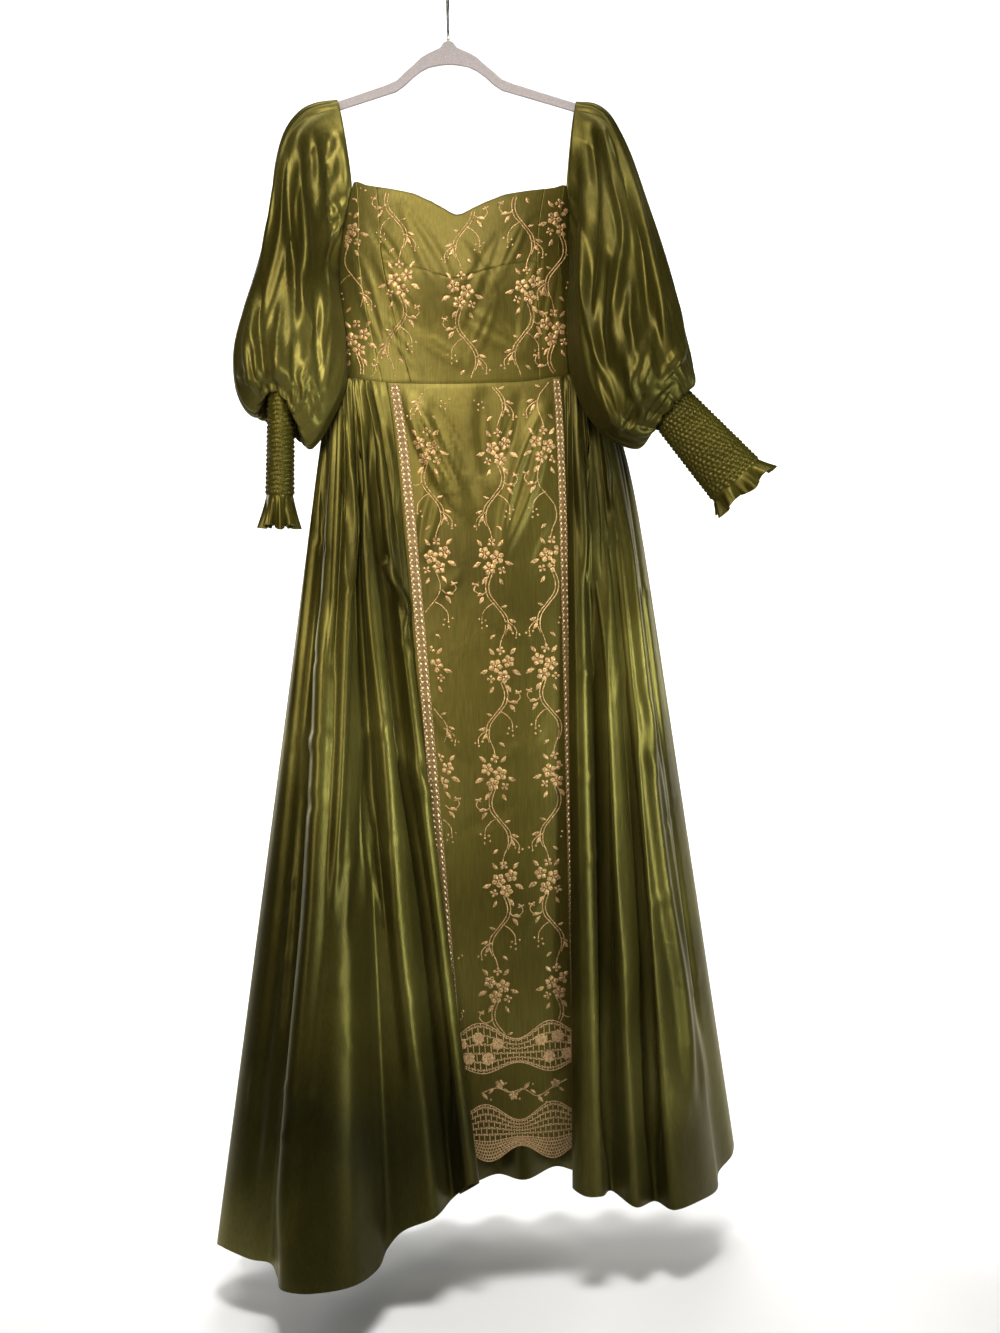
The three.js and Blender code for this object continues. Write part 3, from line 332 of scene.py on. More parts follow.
# Leaves: x, d, direction in degrees from straight down, length, width
LEAVES = (
    (14, 3, 60, 13, 6), (-18, 2, -70, 12, 5.5), (7, 22, 35, 12, 5), (-9, 24, -30, 10, 4.5),
    (12, -18, 140, 11, 5), (-9, -18, -140, 11, 5), (15, 44, 75, 10, 4.5), (14, 48, 35, 12, 5),
    (-16, 78, -70, 10, 4.5), (-14, 84, -30, 11, 5), (4, 98, 50, 9, 4), (-8, 62, -110, 8, 3.5),
    (20, 34, 110, 8, 3.5),
)
# Stems: the points that each one runs through
STEMS = (
    ((3, 16), (10, 32), (9, 47), (0, 60), (-9, 74), (-10, 90), (-3, 106), (1, 120)),
    ((0, 18), (6, 33), (5, 46), (-4, 60), (-13, 73), (-14, 86), (-9, 98)),
    ((9, 40), (15, 45), (22, 45), (27, 39), (25, 33)),
    ((-10, 80), (-18, 84), (-24, 92), (-23, 100)),
    ((1, 56), (10, 61), (18, 70), (20, 80)),
)
# Berries at the end of the side sprigs
BERRIES = (
    (20, 82), (15, 79), (25, 77), (21, 89), (14, 86), (-23, 102), (-28, 98), (-19, 96), (27, 31),
    (21, 30),
)

# Small sprig that runs across the front panel between its lace bands: x, z
HEM_SPRIG = (
    (24, -1452), (44, -1446), (62, -1452), (80, -1449), (98, -1459), (118, -1449), (138, -1440),
)

# Braid trims: distance of their middle from the panel's edge, half width, length of one loop
BRAID_MIDDLE, BRAID_HALF, BRAID_LOOP = 11.5, 7.5, 8.0
# Levels near its two ends, and its gaps to the waist seam and to the upper lace band
BRAID_TOP, BRAID_BOTTOM = -520, -1370
BRAID_TOP_GAP, BRAID_END_GAP = 3, 1.5
# Swing of the two crossed cords of a braid, and distance of its edge cords from its middle
BRAID_SWING, BRAID_EDGE = 3.6, 6.4
# Distance of the lace from the panel's edges
LACE_INSET = 8
# Crochet nets: columns, rows as shares down their band, width of the thread, height of its waves
UPPER_NET = (22, (0, 0.06, 0.24, 0.42, 0.6, 0.78, 0.94, 1), 1.25, 1.5)
LOWER_NETS = (
    (23, (0, 0.05, 0.17, 0.29, 0.41, 0.53, 0.65), 1.25, 1.5),
    (46, (0.65, 0.71, 0.77, 0.83, 0.89, 0.95, 1), 1.3, 0.5),
)

# Stars in the upper lace band: share across it, share down it
LACE_STARS = (
    (0.1, 0.3), (0.23, 0.3), (0.36, 0.36), (0.15, 0.72), (0.29, 0.72),
    (0.66, 0.34), (0.79, 0.3), (0.92, 0.3), (0.72, 0.72), (0.86, 0.72),
)
LACE_STAR_RADIUS = 8.5


def smooth_at(rows, place):
    """Reads a table's rows at places between them, on the smooth curve through them."""
    place = np.asarray(place, float)
    last = len(rows) - 1
    index = np.clip(np.floor(place).astype(int), 0, last - 1)
    t = (place - index)[..., None]
    before, here = rows[np.maximum(index - 1, 0)], rows[index]
    after, beyond = rows[index + 1], rows[np.minimum(index + 2, last)]
    return smooth_step(before, here, after, beyond, t)


def smooth_step(before, here, after, beyond, t):
    """The smooth curve from here to after, with the points before and beyond them."""
    rise, start, end = after - here, (after - before) / 2, (beyond - here) / 2
    return here + t * (start + t * (3 * rise - 2 * start - end + t * (start + end - 2 * rise)))


def signed_power(value, power):
    """A power of the value's size that keeps its sign."""
    return np.sign(value) * np.abs(value) ** power


def unit(vectors):
    """The vectors at length 1."""
    return vectors / np.maximum(np.linalg.norm(vectors, axis=-1, keepdims=True), 1e-12)


def stack(x, y, z):
    """Arrays of coordinates as one array of points."""
    return np.stack(np.broadcast_arrays(x, y, z), axis=-1).astype(float)


def mix(low, high, share):
    """The value at a share of the way from low to high."""
    return low + (high - low) * share


def ease(value):
    """0 to 1 with soft ends."""
    value = np.clip(value, 0, 1)
    return value * value * (3 - 2 * value)


def bodice_section(z):
    """Centre, half width and half depth of the bodice at a level."""
    place = np.interp(z, BODICE[:, 0], np.arange(len(BODICE)))
    values = smooth_at(BODICE, place)
    return values[..., 1], values[..., 2], values[..., 3]


def bodice_point(deg, z):
    """Point of the bodice at degrees from centre front and a level."""
    centre, half_width, half_depth = bodice_section(z)
    angle = np.asarray(deg, float) * DEG
    power = 2 / SECTION_POWER
    x = centre + half_width * signed_power(np.sin(angle), power)
    return stack(x, -half_depth * signed_power(np.cos(angle), power), z)


def waist_level(deg):
    """Level of the waist seam at degrees from centre front."""
    facing = np.cos(np.asarray(deg, float) * DEG)
    return WAIST_LEVEL - np.where(facing > 0, WAIST_DIP_FRONT, WAIST_DIP_BACK) * facing**2


def top_level(deg):
    """Level of the bodice's top edge at degrees from centre front."""
    place = np.interp(np.abs(deg), TOP_EDGE[:, 0], np.arange(len(TOP_EDGE)))
    return smooth_at(TOP_EDGE, place)[..., 1] + BODICE_TILT * TOP_HALF_WIDTH * np.sin(np.asarray(deg) * DEG)


def fold_point(deg, hem, drop):
    """Where a fold line of the skirt has come to at a drop below the waist."""
    waist = bodice_point(deg, waist_level(deg))
    quick = QUICK_FLARE + QUICK_FLARE_SWAY * np.sin(np.asarray(deg) * DEG)
    share = quick * (1 - np.exp(-drop / FLARE_LENGTH)) + (1 - quick) * drop / SKIRT_DROP
    x = mix(waist[..., 0], hem[..., 0], share)
    y = mix(waist[..., 1], hem[..., 1], share)
    return stack(x, y, waist[..., 2] - drop)


def normals_of(surface, a, b, step=0.004):
    """Unit normals of a surface whose a runs to the right and b down, seen from its outer side."""
    along = surface(a + step, b) - surface(a - step, b)
    down = surface(a, b + step) - surface(a, b - step)
    return unit(np.cross(down, along))


def crease_height(points, facing, creases):
    """Height of soft creases at points; facing is 1 where the cloth fully faces the creases' side."""
    height = np.zeros(points.shape[:-1])
    x, z = points[..., 0], points[..., 2]
    for x0, z0, x1, z1, width, tall in creases:
        dx, dz = x1 - x0, z1 - z0
        length = math.hypot(dx, dz)
        t = ((x - x0) * dx + (z - z0) * dz) / length**2
        away = np.abs((x - x0) * dz - (z - z0) * dx) / length
        bend = 0.06 * length * np.sin(np.clip(t, 0, 1) * math.pi)
        across = np.clip(np.abs(away - bend) / width, 0, 1)
        shape = np.cos(across * math.pi / 2) ** 2 * np.sqrt(np.clip(4 * t * (1 - t), 0, 1))
        height += tall * shape
    return height * ease(facing * 2.5)


def fold_height(points, facing, folds):
    """Height of long soft folds that run down the cloth and widen on their way."""
    x, z = points[..., 0], points[..., 2]
    height = np.zeros(x.shape)
    for half, tall, line in folds:
        line = smooth_path(line)[::-1]
        middle = np.interp(z, line[:, 1], line[:, 0])
        low, high = line[0, 1], line[-1, 1]
        fade = min(FOLD_FADE, 0.3 * (high - low))
        ends = ease((z - low) / fade) * ease((high - z) / fade)
        width = half * (1 + FOLD_GROWTH * np.clip((WAIST_LEVEL - z) / SKIRT_DROP, 0, 1))
        away = np.clip(np.abs(x - middle) / width, 0, 1)
        height += tall * ends * np.cos(away * math.pi / 2) ** 2
    return height * ease(facing * 2.5)


def creased(surface, creases, side, folds=()):
    """The surface with folds and creases on its front (side -1) or on its back (side 1)."""
    def moved(a, b):
        points = surface(a, b)
        normals = normals_of(surface, a, b)
        facing = side * normals[..., 1]
        height = crease_height(points, facing, creases) + fold_height(points, facing, folds)
        return points + normals * height[..., None]
    return moved


def sheet_mesh(name, surface, columns, rows, size, closed=False):
    """A sheet of cloth: a flat grid whose points go where the surface puts them; size is its flat one."""
    bm = bmesh.new()
    bmesh.ops.create_grid(bm, x_segments=columns, y_segments=rows, size=0.5, calc_uvs=False)
    flat = np.array([v.co[:] for v in bm.verts])
    a, b = flat[:, 0] + 0.5, 0.5 - flat[:, 1]
    layer = bm.loops.layers.uv.new("cloth")
    for face in bm.faces:
        for loop in face.loops:
            index = loop.vert.index
            loop[layer].uv = (a[index] * size[0], (1 - b[index]) * size[1])
    for vert, point in zip(bm.verts, surface(a, b) * MM):
        vert.co = point
    if closed:
        bmesh.ops.remove_doubles(bm, verts=bm.verts, dist=1e-6)
    return to_object(name, bm)


def to_object(name, bm):
    """Turns a bmesh into a smooth-shaded object at the origin."""
    mesh = bpy.data.meshes.new(name)
    bm.to_mesh(mesh)
    bm.free()
    mesh.shade_smooth()
    piece = bpy.data.objects.new(name, mesh)
    bpy.context.scene.collection.objects.link(piece)
    return piece


def thicken(piece, thickness):
    """Gives a sheet its wall, inwards from its outer face."""
    wall = piece.modifiers.new("wall", "SOLIDIFY")
    wall.thickness = thickness * MM
    wall.offset = -1
    wall.use_quality_normals = True
    shading = piece.modifiers.new("shading", "WEIGHTED_NORMAL")
    shading.weight = 100


def dress(piece, material, slot, *nodes):
    """Finishes a piece: material, body and the CAD nodes that it stands for; its slot is not used."""
    piece.data.materials.append(material)
    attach(piece, "root")
    if nodes:
        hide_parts(*nodes)
    return piece


# Bodice and skirt surfaces

def along_bodice(deg, z):
    """Direction round the bodice at a point."""
    return bodice_point(deg + 1, z) - bodice_point(deg - 1, z)


def bodice_panel_surface(panel):
    """A bodice panel between its seams, with puckers along them and its creases."""
    name, top, waist, low_share, high_share = panel
    creases, side = (BACK_BODICE_CREASES, 1) if "back" in name else (BODICE_CREASES, -1)

    def surface(a, b):
        up = mix(high_share, low_share, b)
        left, right = (mix(waist[end], top[end], up) for end in (0, 1))
        deg = mix(left, right, a)
        z = mix(waist_level(deg), top_level(deg), up)
        points = bodice_point(deg, z)
        edge = np.minimum(a, 1 - a) * np.abs(right - left) * DEGREE_LENGTH
        pucker = PUCKER_HEIGHT * np.exp(-edge / PUCKER_REACH) * np.sin(z * 0.42 + 1.7 * np.sin(z * 0.07))
        outward = unit(np.cross(np.array([0, 0, -1.0]), along_bodice(deg, z)))
        return points + outward * pucker[..., None]
    return creased(surface, creases, side)


def pinched(phase):
    """Round ridges between sharp valleys, from -0.62 to 0.38, with a ridge every half turn of the phase."""
    return np.abs(np.sin(phase)) ** 0.7 - 0.62


def gathers(place, drop):
    """Gathers under the waist seam: full ones that run on down the skirt, and fine ones that soon end."""
    fade = 0.1 + 0.9 * np.clip(drop / GATHER_START, 0, 1)
    made = 0
    for high, reach, pace, sway, sway_pace in GATHERS:
        made = made + high * np.exp(-drop / reach) * pinched(place * pace + sway * np.sin(place * sway_pace))
    return fade * made


def skirt_surface(first, last):
    """A skirt piece between two fold lines, before its creases."""
    end = len(SKIRT_FOLDS) - 1

    def surface(a, b):
        place = mix(last, first, a)
        row = smooth_at(SKIRT_FOLDS, np.clip(place, 0, end))
        deg, hem = row[..., 0], row[..., 1:]
        level = signed_power(b, 1.5)
        drop = np.maximum(level * (waist_level(deg) - hem[..., 2]), 0)
        edge = np.clip(np.minimum(place, end - place) * 1.2, 0, 1)
        out = stack(np.sin(deg * DEG), -np.cos(deg * DEG), 0 * deg)
        return fold_point(deg, hem, drop) + out * (gathers(place, drop) * edge)[..., None]
    return surface


def panel_point(across, z):
    """Point of the front panel without its folds, at a share across it and a level."""
    across = np.asarray(across, float)
    deg, x, y = (mix(left, right, across) for left, right in zip(PANEL_LEFT[:3], PANEL_RIGHT[:3]))
    bow = PANEL_BOW * (1 - (2 * across - 1) ** 2)
    return fold_point(deg, stack(x, y - bow, 0), waist_level(deg) - z)


def panel_waist(across):
    """Level of the waist seam at a share across the front panel."""
    return waist_level(mix(PANEL_LEFT[0], PANEL_RIGHT[0], across))


def panel_width(z):
    """Width of the front panel at a level."""
    return np.linalg.norm(panel_point(1.0, z) - panel_point(0.0, z), axis=-1)


def scallop(across):
    """Wave of the scallops, from -1 to 1, at a share across the front panel."""
    x = panel_point(across, LOWER_BAND[1])[..., 0]
    return np.cos((x - SCALLOP_CREST) / SCALLOP_PITCH * 2 * math.pi)


def band_level(band, across, down):
    """Level of a lace band's point at a share across the panel and a share down the band."""
    wave = scallop(across)
    return mix(band[0] + band[2] * wave, band[1] - band[3] * wave, down)


def panel_plain(a, z):
    """Front panel with its soft hanging folds, before its creases, by share across and level."""
    fold = PANEL_FOLD_HEIGHT * np.sin(a * 9.5 + z * 0.004) * np.exp((z - WAIST_LEVEL) / PANEL_FOLD_REACH)
    return panel_point(a, z) + np.array([0, -1.0, 0]) * fold[..., None]


def panel_at(across, z):
    """Front panel's outer face with its creases, and its normals there."""
    def by_share(a, b):
        return panel_plain(a, -b * 1000)
    surface = creased(by_share, PANEL_CREASES, -1)
    b = -np.asarray(z, float) / 1000
    return surface(across, b), normals_of(surface, across, b, 0.002)


def panel_surface(a, b):
    """The whole front panel, from the waist seam to just below the lower lace band."""
    across = mix(PANEL_GAP / PANEL_WIDTH, 1 - PANEL_GAP / PANEL_WIDTH, a)
    top = panel_waist(across) - 0.15
    bottom = band_level(LOWER_BAND, across, 1) + 3
    return panel_at(across, mix(top, bottom, b))[0]


# Needlework, drawn flat in x, z and height above the cloth, then laid on it

def patch(across, along):
    """A unit patch as arrays: s from -1 to 1 across it, t from 0 to 1 along it, and its faces."""
    bm = bmesh.new()
    bmesh.ops.create_grid(bm, x_segments=across, y_segments=along, size=1, calc_uvs=False)
    points = np.array([v.co[:2] for v in bm.verts])
    faces = np.array([[v.index for v in face.verts] for face in bm.faces])
    bm.free()
    return points[:, 0], (points[:, 1] + 1) / 2, faces


PETAL = patch(4, 4)
KNOT = patch(2, 3)


def ribbon(path, width, height, lift=0.2, spacing=1.6):
    """A raised cord or stem along a flat path; lift is the height of its edges above the cloth."""
    path = np.asarray(path, float)
    run = np.concatenate([[0], np.cumsum(np.linalg.norm(np.diff(path, axis=0), axis=1))])
    steps = max(2, int(run[-1] / spacing))
    s, t, faces = patch(2, steps)
    reach = run[-1] / steps

    def point(ahead):
        place = np.clip(t * run[-1] + ahead, 0, run[-1])
        return np.stack([np.interp(place, run, path[:, i]) for i in (0, 1)], -1)
    heading = unit(point(reach) - point(-reach))
    sideways = np.stack([heading[:, 1], -heading[:, 0]], -1)
    flat = point(0) + sideways * (s * width / 2)[:, None]
    return np.column_stack([flat, lift + height * (1 - s * s)]), faces


def smooth_path(points, parts=7):
    """A finer path on the smooth curve through a few points."""
    points = np.asarray(points, float)
    place = np.linspace(0, len(points) - 1, (len(points) - 1) * parts + 1)
    return smooth_at(points, place)


def petal(x, z, angle, length, width, height=0.7, point=0.75, bend=0.0, form=PETAL):
    """A satin-stitched petal or leaf from its foot; the angle is from straight down, in radians."""
    s, t, faces = form
    half = width / 2 * np.sin(math.pi * np.clip(t, 0.02, 0.985) ** point) ** 0.85
    side = s * half + bend * length * np.sin(math.pi * t)
    along = t * length
    px = x + math.sin(angle) * along + math.cos(angle) * side
    pz = z - math.cos(angle) * along + math.sin(angle) * side
    dome = (1 - s * s) * np.sin(math.pi * np.clip(t, 0.08, 0.92)) ** 0.6
    return np.column_stack([px, pz, 0.2 + height * dome]), faces


def knot(x, z, length, width, height, angle=0.0):
    """A small round knot or berry that hangs from its top."""
    return petal(x, z, angle, length, width, height, 1.0, form=KNOT)


def blossom(x, z, radius, petals, turn):
    """A flower of satin-stitched petals round a knot."""
    made = []
    for number in range(petals):
        angle = turn + number * 2 * math.pi / petals
        made.append(petal(x + math.sin(angle) * radius * 0.16, z - math.cos(angle) * radius * 0.16,
                          angle, radius * 0.86, radius * 0.78, 0.85, 1.25))
    made.append(knot(x, z + radius * 0.17, radius * 0.34, radius * 0.34, 1.3))
    return made


def within(parts, inside):
    """Keeps the parts that lie wholly inside a region of the cloth."""
    return [part for part in parts if np.all(inside(part[0][:, 0], part[0][:, 1]))]


def clipped(path, inside):
    """The longest stretch of a path that lies inside a region of the cloth."""
    best, start = path[:0], None
    for index, here in enumerate([*inside(path[:, 0], path[:, 1]), False]):
        if here and start is None:
            start = index
        elif not here and start is not None:
            if index - start > len(best):
                best = path[start:index]
            start = None
    return best


def vine(x, level, count, lean, inside):
    """A column of blossom clusters joined by double stems that swing from side to side."""
    made = []
    for number in range(-1, count):
        side = lean if number % 2 == 0 else -lean
        centre = x + side * VINE_SWAY

        def place(along, d):
            drift = -2 * side * VINE_SWAY * max(0, d) / VINE_PITCH
            return centre + side * along + drift, level - number * VINE_PITCH - d
        if number >= 0:
            for along, d, radius, petals, turn in BLOSSOMS:
                made += blossom(*place(along, d), radius, petals, turn + number * 0.6)
        for along, d, angle, length, width in LEAVES:
            made.append(petal(*place(along, d), side * angle * DEG, length, width, 0.55, 0.9, 0.06 * side))
        for along, d in BERRIES:
            made.append(knot(*place(along, d - 1.6), 3.4, 3.2, 0.8))
        made = within(made, inside)
        for stem in STEMS:
            path = clipped(smooth_path([place(*point) for point in stem]), inside)
            if len(path) > 4:
                made.append(ribbon(path, STEM_WIDTH, STEM_HEIGHT))
    return made


def joined(parts):
    """Joins flat parts into one array of points and one of faces."""
    offsets = np.cumsum([0] + [len(points) for points, _ in parts[:-1]])
    faces = np.concatenate([faces + offset for (_, faces), offset in zip(parts, offsets)])
    return np.concatenate([points for points, _ in parts]), faces


def lay(name, parts, place, material, slot, thickness, *nodes):
    """Lays flat needlework on the cloth as one piece; place gives the cloth's points and normals."""
    flat, faces = joined(parts)
    points, normals = place(flat[:, 0], flat[:, 1])
    mesh = bpy.data.meshes.new(name)
    mesh.from_pydata(((points + normals * flat[:, 2:]) * MM).tolist(), [], faces.tolist())
    mesh.update()
    bm = bmesh.new()
    bm.from_mesh(mesh)
    bpy.data.meshes.remove(mesh)
    outward = np.array([face.normal for face in bm.faces])
    towards = np.array([normals[face.verts[0].index] for face in bm.faces])
    inward = (outward * towards).sum(1) < 0
    bmesh.ops.reverse_faces(bm, faces=[face for face, turned in zip(bm.faces, inward) if turned])
    piece = to_object(name, bm)
    thicken(piece, thickness)
    return dress(piece, material, slot, *nodes)


def panel_share(x, z):
    """Share across the front panel of a point at x and z."""
    left, right = panel_point(0.0, z)[..., 0], panel_point(1.0, z)[..., 0]
    share = (x - left) / (right - left)
    for _ in range(4):
        share = share + (x - panel_point(share, z)[..., 0]) / (right - left)
    return share


def on_panel(x, z):
    """Points and normals of the front panel at x and z."""
    return panel_at(panel_share(x, z), z)


def bodice_deg(x, z):
    """Degrees from centre front of the bodice's point at x and z."""
    centre, half_width, _ = bodice_section(z)
    share = np.clip((x - centre) / half_width, -0.999, 0.999)
    return np.arcsin(signed_power(share, SECTION_POWER / 2)) / DEG


def on_bodice(x, z):
    """Points and normals of the bodice's front at x and z."""
    def smooth(a, b):
        return bodice_point(a * 180, -b * 1000)
    surface = creased(smooth, BODICE_CREASES, -1)
    a, b = bodice_deg(x, z) / 180, -z / 1000
    return surface(a, b), normals_of(surface, a, b)


def braid_share(side, z, offset=0):
    """Share across the front panel of a braid's middle at a level, or of a point at an offset from it."""
    share = (BRAID_MIDDLE + side * offset) / panel_width(z)
    return share if side > 0 else 1 - share


def braid_ground(top, bottom):
    """Woven ground of a braid with its corded edges and two cords that cross; x is from the middle."""
    made = [ribbon([(0, top), (0, bottom)], 2 * BRAID_HALF - 1, 0.1, 0.3, 4)]
    level = np.arange(top, bottom, -1.3)
    for side in (-1, 1):
        swing = side * BRAID_SWING * np.sin((level - top) / BRAID_LOOP * math.pi)
        made.append(ribbon(np.column_stack([swing, level]), 1.5, 0.6, 0.6, 1.3))
        made.append(ribbon([(side * BRAID_EDGE, top), (side * BRAID_EDGE, bottom)], 1.5, 0.7, 0.5, 5))
    return made


def braid_knots(top, bottom):
    """Paired knots down a braid, with a small picot beside each."""
    made = []
    for z in np.arange(top - BRAID_LOOP / 2, bottom + 2, -BRAID_LOOP):
        for side in (-1, 1):
            made.append(knot(side * 2.9, z + 2.1, 4.4, 3.6, 1.5, side * 0.3))
            made.append(knot(side * 6.2, z - 1.8, 3.0, 2.2, 1.3))
    return made


def net(band, columns, rows, width, wave):
    """Crocheted net in a band: wavy strands across, with bars set like bricks between them."""
    threads = []
    share = np.linspace(0, 1, columns * 4 + 1)
    for number, down in enumerate(rows):
        phase = math.pi * (number % 2)
        bend = wave * np.cos(share * columns * 2 * math.pi + phase) * (0 < number < len(rows) - 1)
        threads.append((share, np.full_like(share, down), bend))
    for number, ends in enumerate(zip(rows, rows[1:])):
        for column in range(columns + 1):
            at = (column + 0.5 * (number % 2)) / columns
            if at <= 1:
                threads.append((np.array([at, at]), np.array(ends), np.zeros(2)))
    inset = LACE_INSET / PANEL_WIDTH
    made = []
    for along, down, bend in threads:
        across = mix(inset, 1 - inset, along)
        z = band_level(band, across, down) + bend
        x = panel_point(across, z)[..., 0]
        made.append(ribbon(np.column_stack([x, z]), width, 0.5, 0.5, 2.2))
    return made


def lace_motifs(band):
    """Crocheted stars in the full parts of a band, on either side of its narrow middle."""
    made = []
    for number, (across, down) in enumerate(LACE_STARS):
        z = float(band_level(band, across, down))
        x = float(panel_point(across, z)[..., 0])
        made += blossom(x, z, LACE_STAR_RADIUS, 8, 0.4 * number)
    return made


# Sleeve and cuff surfaces

def cuff_axes(cuff):
    """Start of a cuff, its unit directions along, across and deep, and its length."""
    start, end = np.array(cuff["start"], float), np.array(cuff["end"], float)
    axis = end - start
    length = np.linalg.norm(axis)
    axis = axis / length
    across = unit(np.array(cuff["across"], float))
    return start, axis, across, unit(np.cross(axis, across)), length


def cuff_point(cuff, along, angle, grown):
    """Point of a cuff at a length along it and an angle round it, grown outwards."""
    start, axis, across, deep, length = cuff_axes(cuff)
    share = np.clip(along / length, 0, 1)
    half_across = mix(*cuff["half_across"], share) + grown
    half_deep = mix(*cuff["half_deep"], share) + grown
    return (start + axis * np.asarray(along)[..., None] + across * (half_across * np.cos(angle))[..., None]
            + deep * (half_deep * np.sin(angle))[..., None])


def armhole_point(strap, turn):
    """First ring of a sleeve: over the hanger's arm, then along the bodice's armhole edge."""
    side, strap_x, strap_z = strap
    from_top = np.where(turn > 180, 360 - turn, turn)
    towards = np.where(turn <= 180, -1, 1)

    def seam(share):
        deg = side * (SIDE + towards * (SIDE - CORNER) * (1 - share))
        out = stack(np.sin(deg * DEG), -np.cos(deg * DEG), 0 * deg)
        return bodice_point(deg, top_level(deg)) + out * ARMHOLE_GAP
    corner = seam(np.zeros_like(from_top))
    share = np.clip(from_top / STRAP_SPAN, 0, 1)
    angle = share * math.pi / 2
    over = stack(
        mix(strap_x, corner[..., 0], share**1.3),
        corner[..., 1] * np.sin(angle) ** 0.8,
        mix(strap_z, corner[..., 2], 1 - np.clip(np.cos(angle), 0, 1) ** 0.8),
    )
    low = seam(np.clip((from_top - STRAP_SPAN) / (180 - STRAP_SPAN), 0, 1))
    return np.where((from_top >= STRAP_SPAN)[..., None], low, over)


def sleeve_rings(rings, strap, cuff, turns):
    """Every ring of a sleeve at the turns given: an array of rings by turns by 3."""
    angle = turns * DEG
    outward = signed_power(np.cos(angle), 2 / SLEEVE_POWER)
    forward = signed_power(np.sin(angle), 2 / SLEEVE_POWER)
    made = [armhole_point(strap, turns)]
    for index, (outer_x, outer_z, inner_x, inner_z, y, half_depth, rise) in enumerate(rings):
        share = (index + 1) / len(rings)
        fold = np.zeros_like(turns)
        for deg, width, tall in SLEEVE_FOLDS:
            away = np.clip(np.abs(turns - deg) / width, 0, 1)
            fold += tall * np.cos(away * math.pi / 2) ** 2
        fold *= math.sin(share * math.pi)
        close = SLEEVE_CLOSE * ease(share * 9) * ease((1 - share) * 2.5)
        x = mix(inner_x - strap[0] * close, outer_x, (outward + 1) / 2)
        z = mix(inner_z, outer_z, (outward + 1) / 2) + np.where(forward > 0, rise * forward**2, 0)
        made.append(stack(x, y - forward * (half_depth + fold), z))
    cuff_angle = angle if strap[0] > 0 else math.pi - angle
    made.append(cuff_point(cuff, np.full_like(turns, -0.3), cuff_angle, 0.4))
    return np.array(made)


def sleeve_surface(rings, strap, cuff):
    """Smooth sleeve with gathers that are drawn into its head and its cuff."""
    count = len(rings) + 1

    def surface(a, b):
        turn = np.mod(a, 1) * 360 if strap[0] < 0 else np.mod(1 - a, 1) * 360
        made = sleeve_rings(rings, strap, cuff, turn)
        place = np.clip(b, 0, 1) * count
        index = np.clip(np.floor(place).astype(int), 0, count - 1)
        t = (place - index)[..., None]
        pick = np.arange(turn.size).reshape(turn.shape)
        flat = made.reshape(count + 1, -1, 3)

        def ring(number):
            return flat[np.clip(number, 0, count), pick]
        return smooth_step(ring(index - 1), ring(index), ring(index + 1), ring(index + 2), t)

    def gathered(a, b):
        points = surface(a, b)
        normals = normals_of(surface, a, np.clip(b, 0.004, 0.996))
        turn = np.mod(a, 1) * 2 * math.pi
        low = 1 - b
        head = HEAD_GATHERS * ease(b * 10) * np.exp(-b * 7)
        head = head * pinched(8.5 * turn + 1.3 * np.sin(3 * turn))
        foot = FOOT_GATHERS * ease(low * 14) * np.exp(-low * 7)
        foot = foot * pinched(10.5 * turn + 1.5 * np.sin(2 * turn))
        ridges = SLEEVE_RIDGES * np.sin(b * math.pi) * pinched(4.5 * turn + 0.8 * b + 0.9 * np.sin(2 * turn))
        return points + normals * (head + foot + ridges)[..., None]
    return creased(gathered, SLEEVE_CREASES, -1, SLEEVE_LINES)


def cuff_surface(cuff):
    """A smocked cuff: rows of staggered puffs, then a waved ruffle at its free end."""
    length = cuff_axes(cuff)[4]

    def surface(a, b):
        turn = a * 2 * math.pi
        in_ruffle = np.clip((b - (1 - RUFFLE_SHARE)) / RUFFLE_SHARE, 0, 1)
        shirred = np.clip(b / (1 - RUFFLE_SHARE), 0, 1)
        along = shirred * length + in_ruffle * cuff["ruffle"]
        row = shirred * SMOCK_ROWS
        stagger = math.pi * np.floor(row)
        wander = 0.9 * np.sin(5 * turn + 1.7 * np.floor(row)) + 0.6 * np.sin(3 * turn + row)
        puff = SMOCK_PUFF * np.abs(np.sin(row * math.pi)) ** 0.8
        puff = puff * (0.55 + 0.45 * np.sin(cuff["columns"] * turn + stagger + wander))
        puff = puff * (1 - in_ruffle)
        wave = np.cos(9 * turn + 0.7 * np.sin(2 * turn)) * 5.8 + np.cos(22 * turn + 1.0) * 1.8
        flare = (cuff["flare"] + wave) * in_ruffle**1.2
        uneven = in_ruffle * 3.0 * np.sin(5 * turn + 1.0)
        return cuff_point(cuff, along + uneven, turn, puff + flare - 0.4)
    return surface


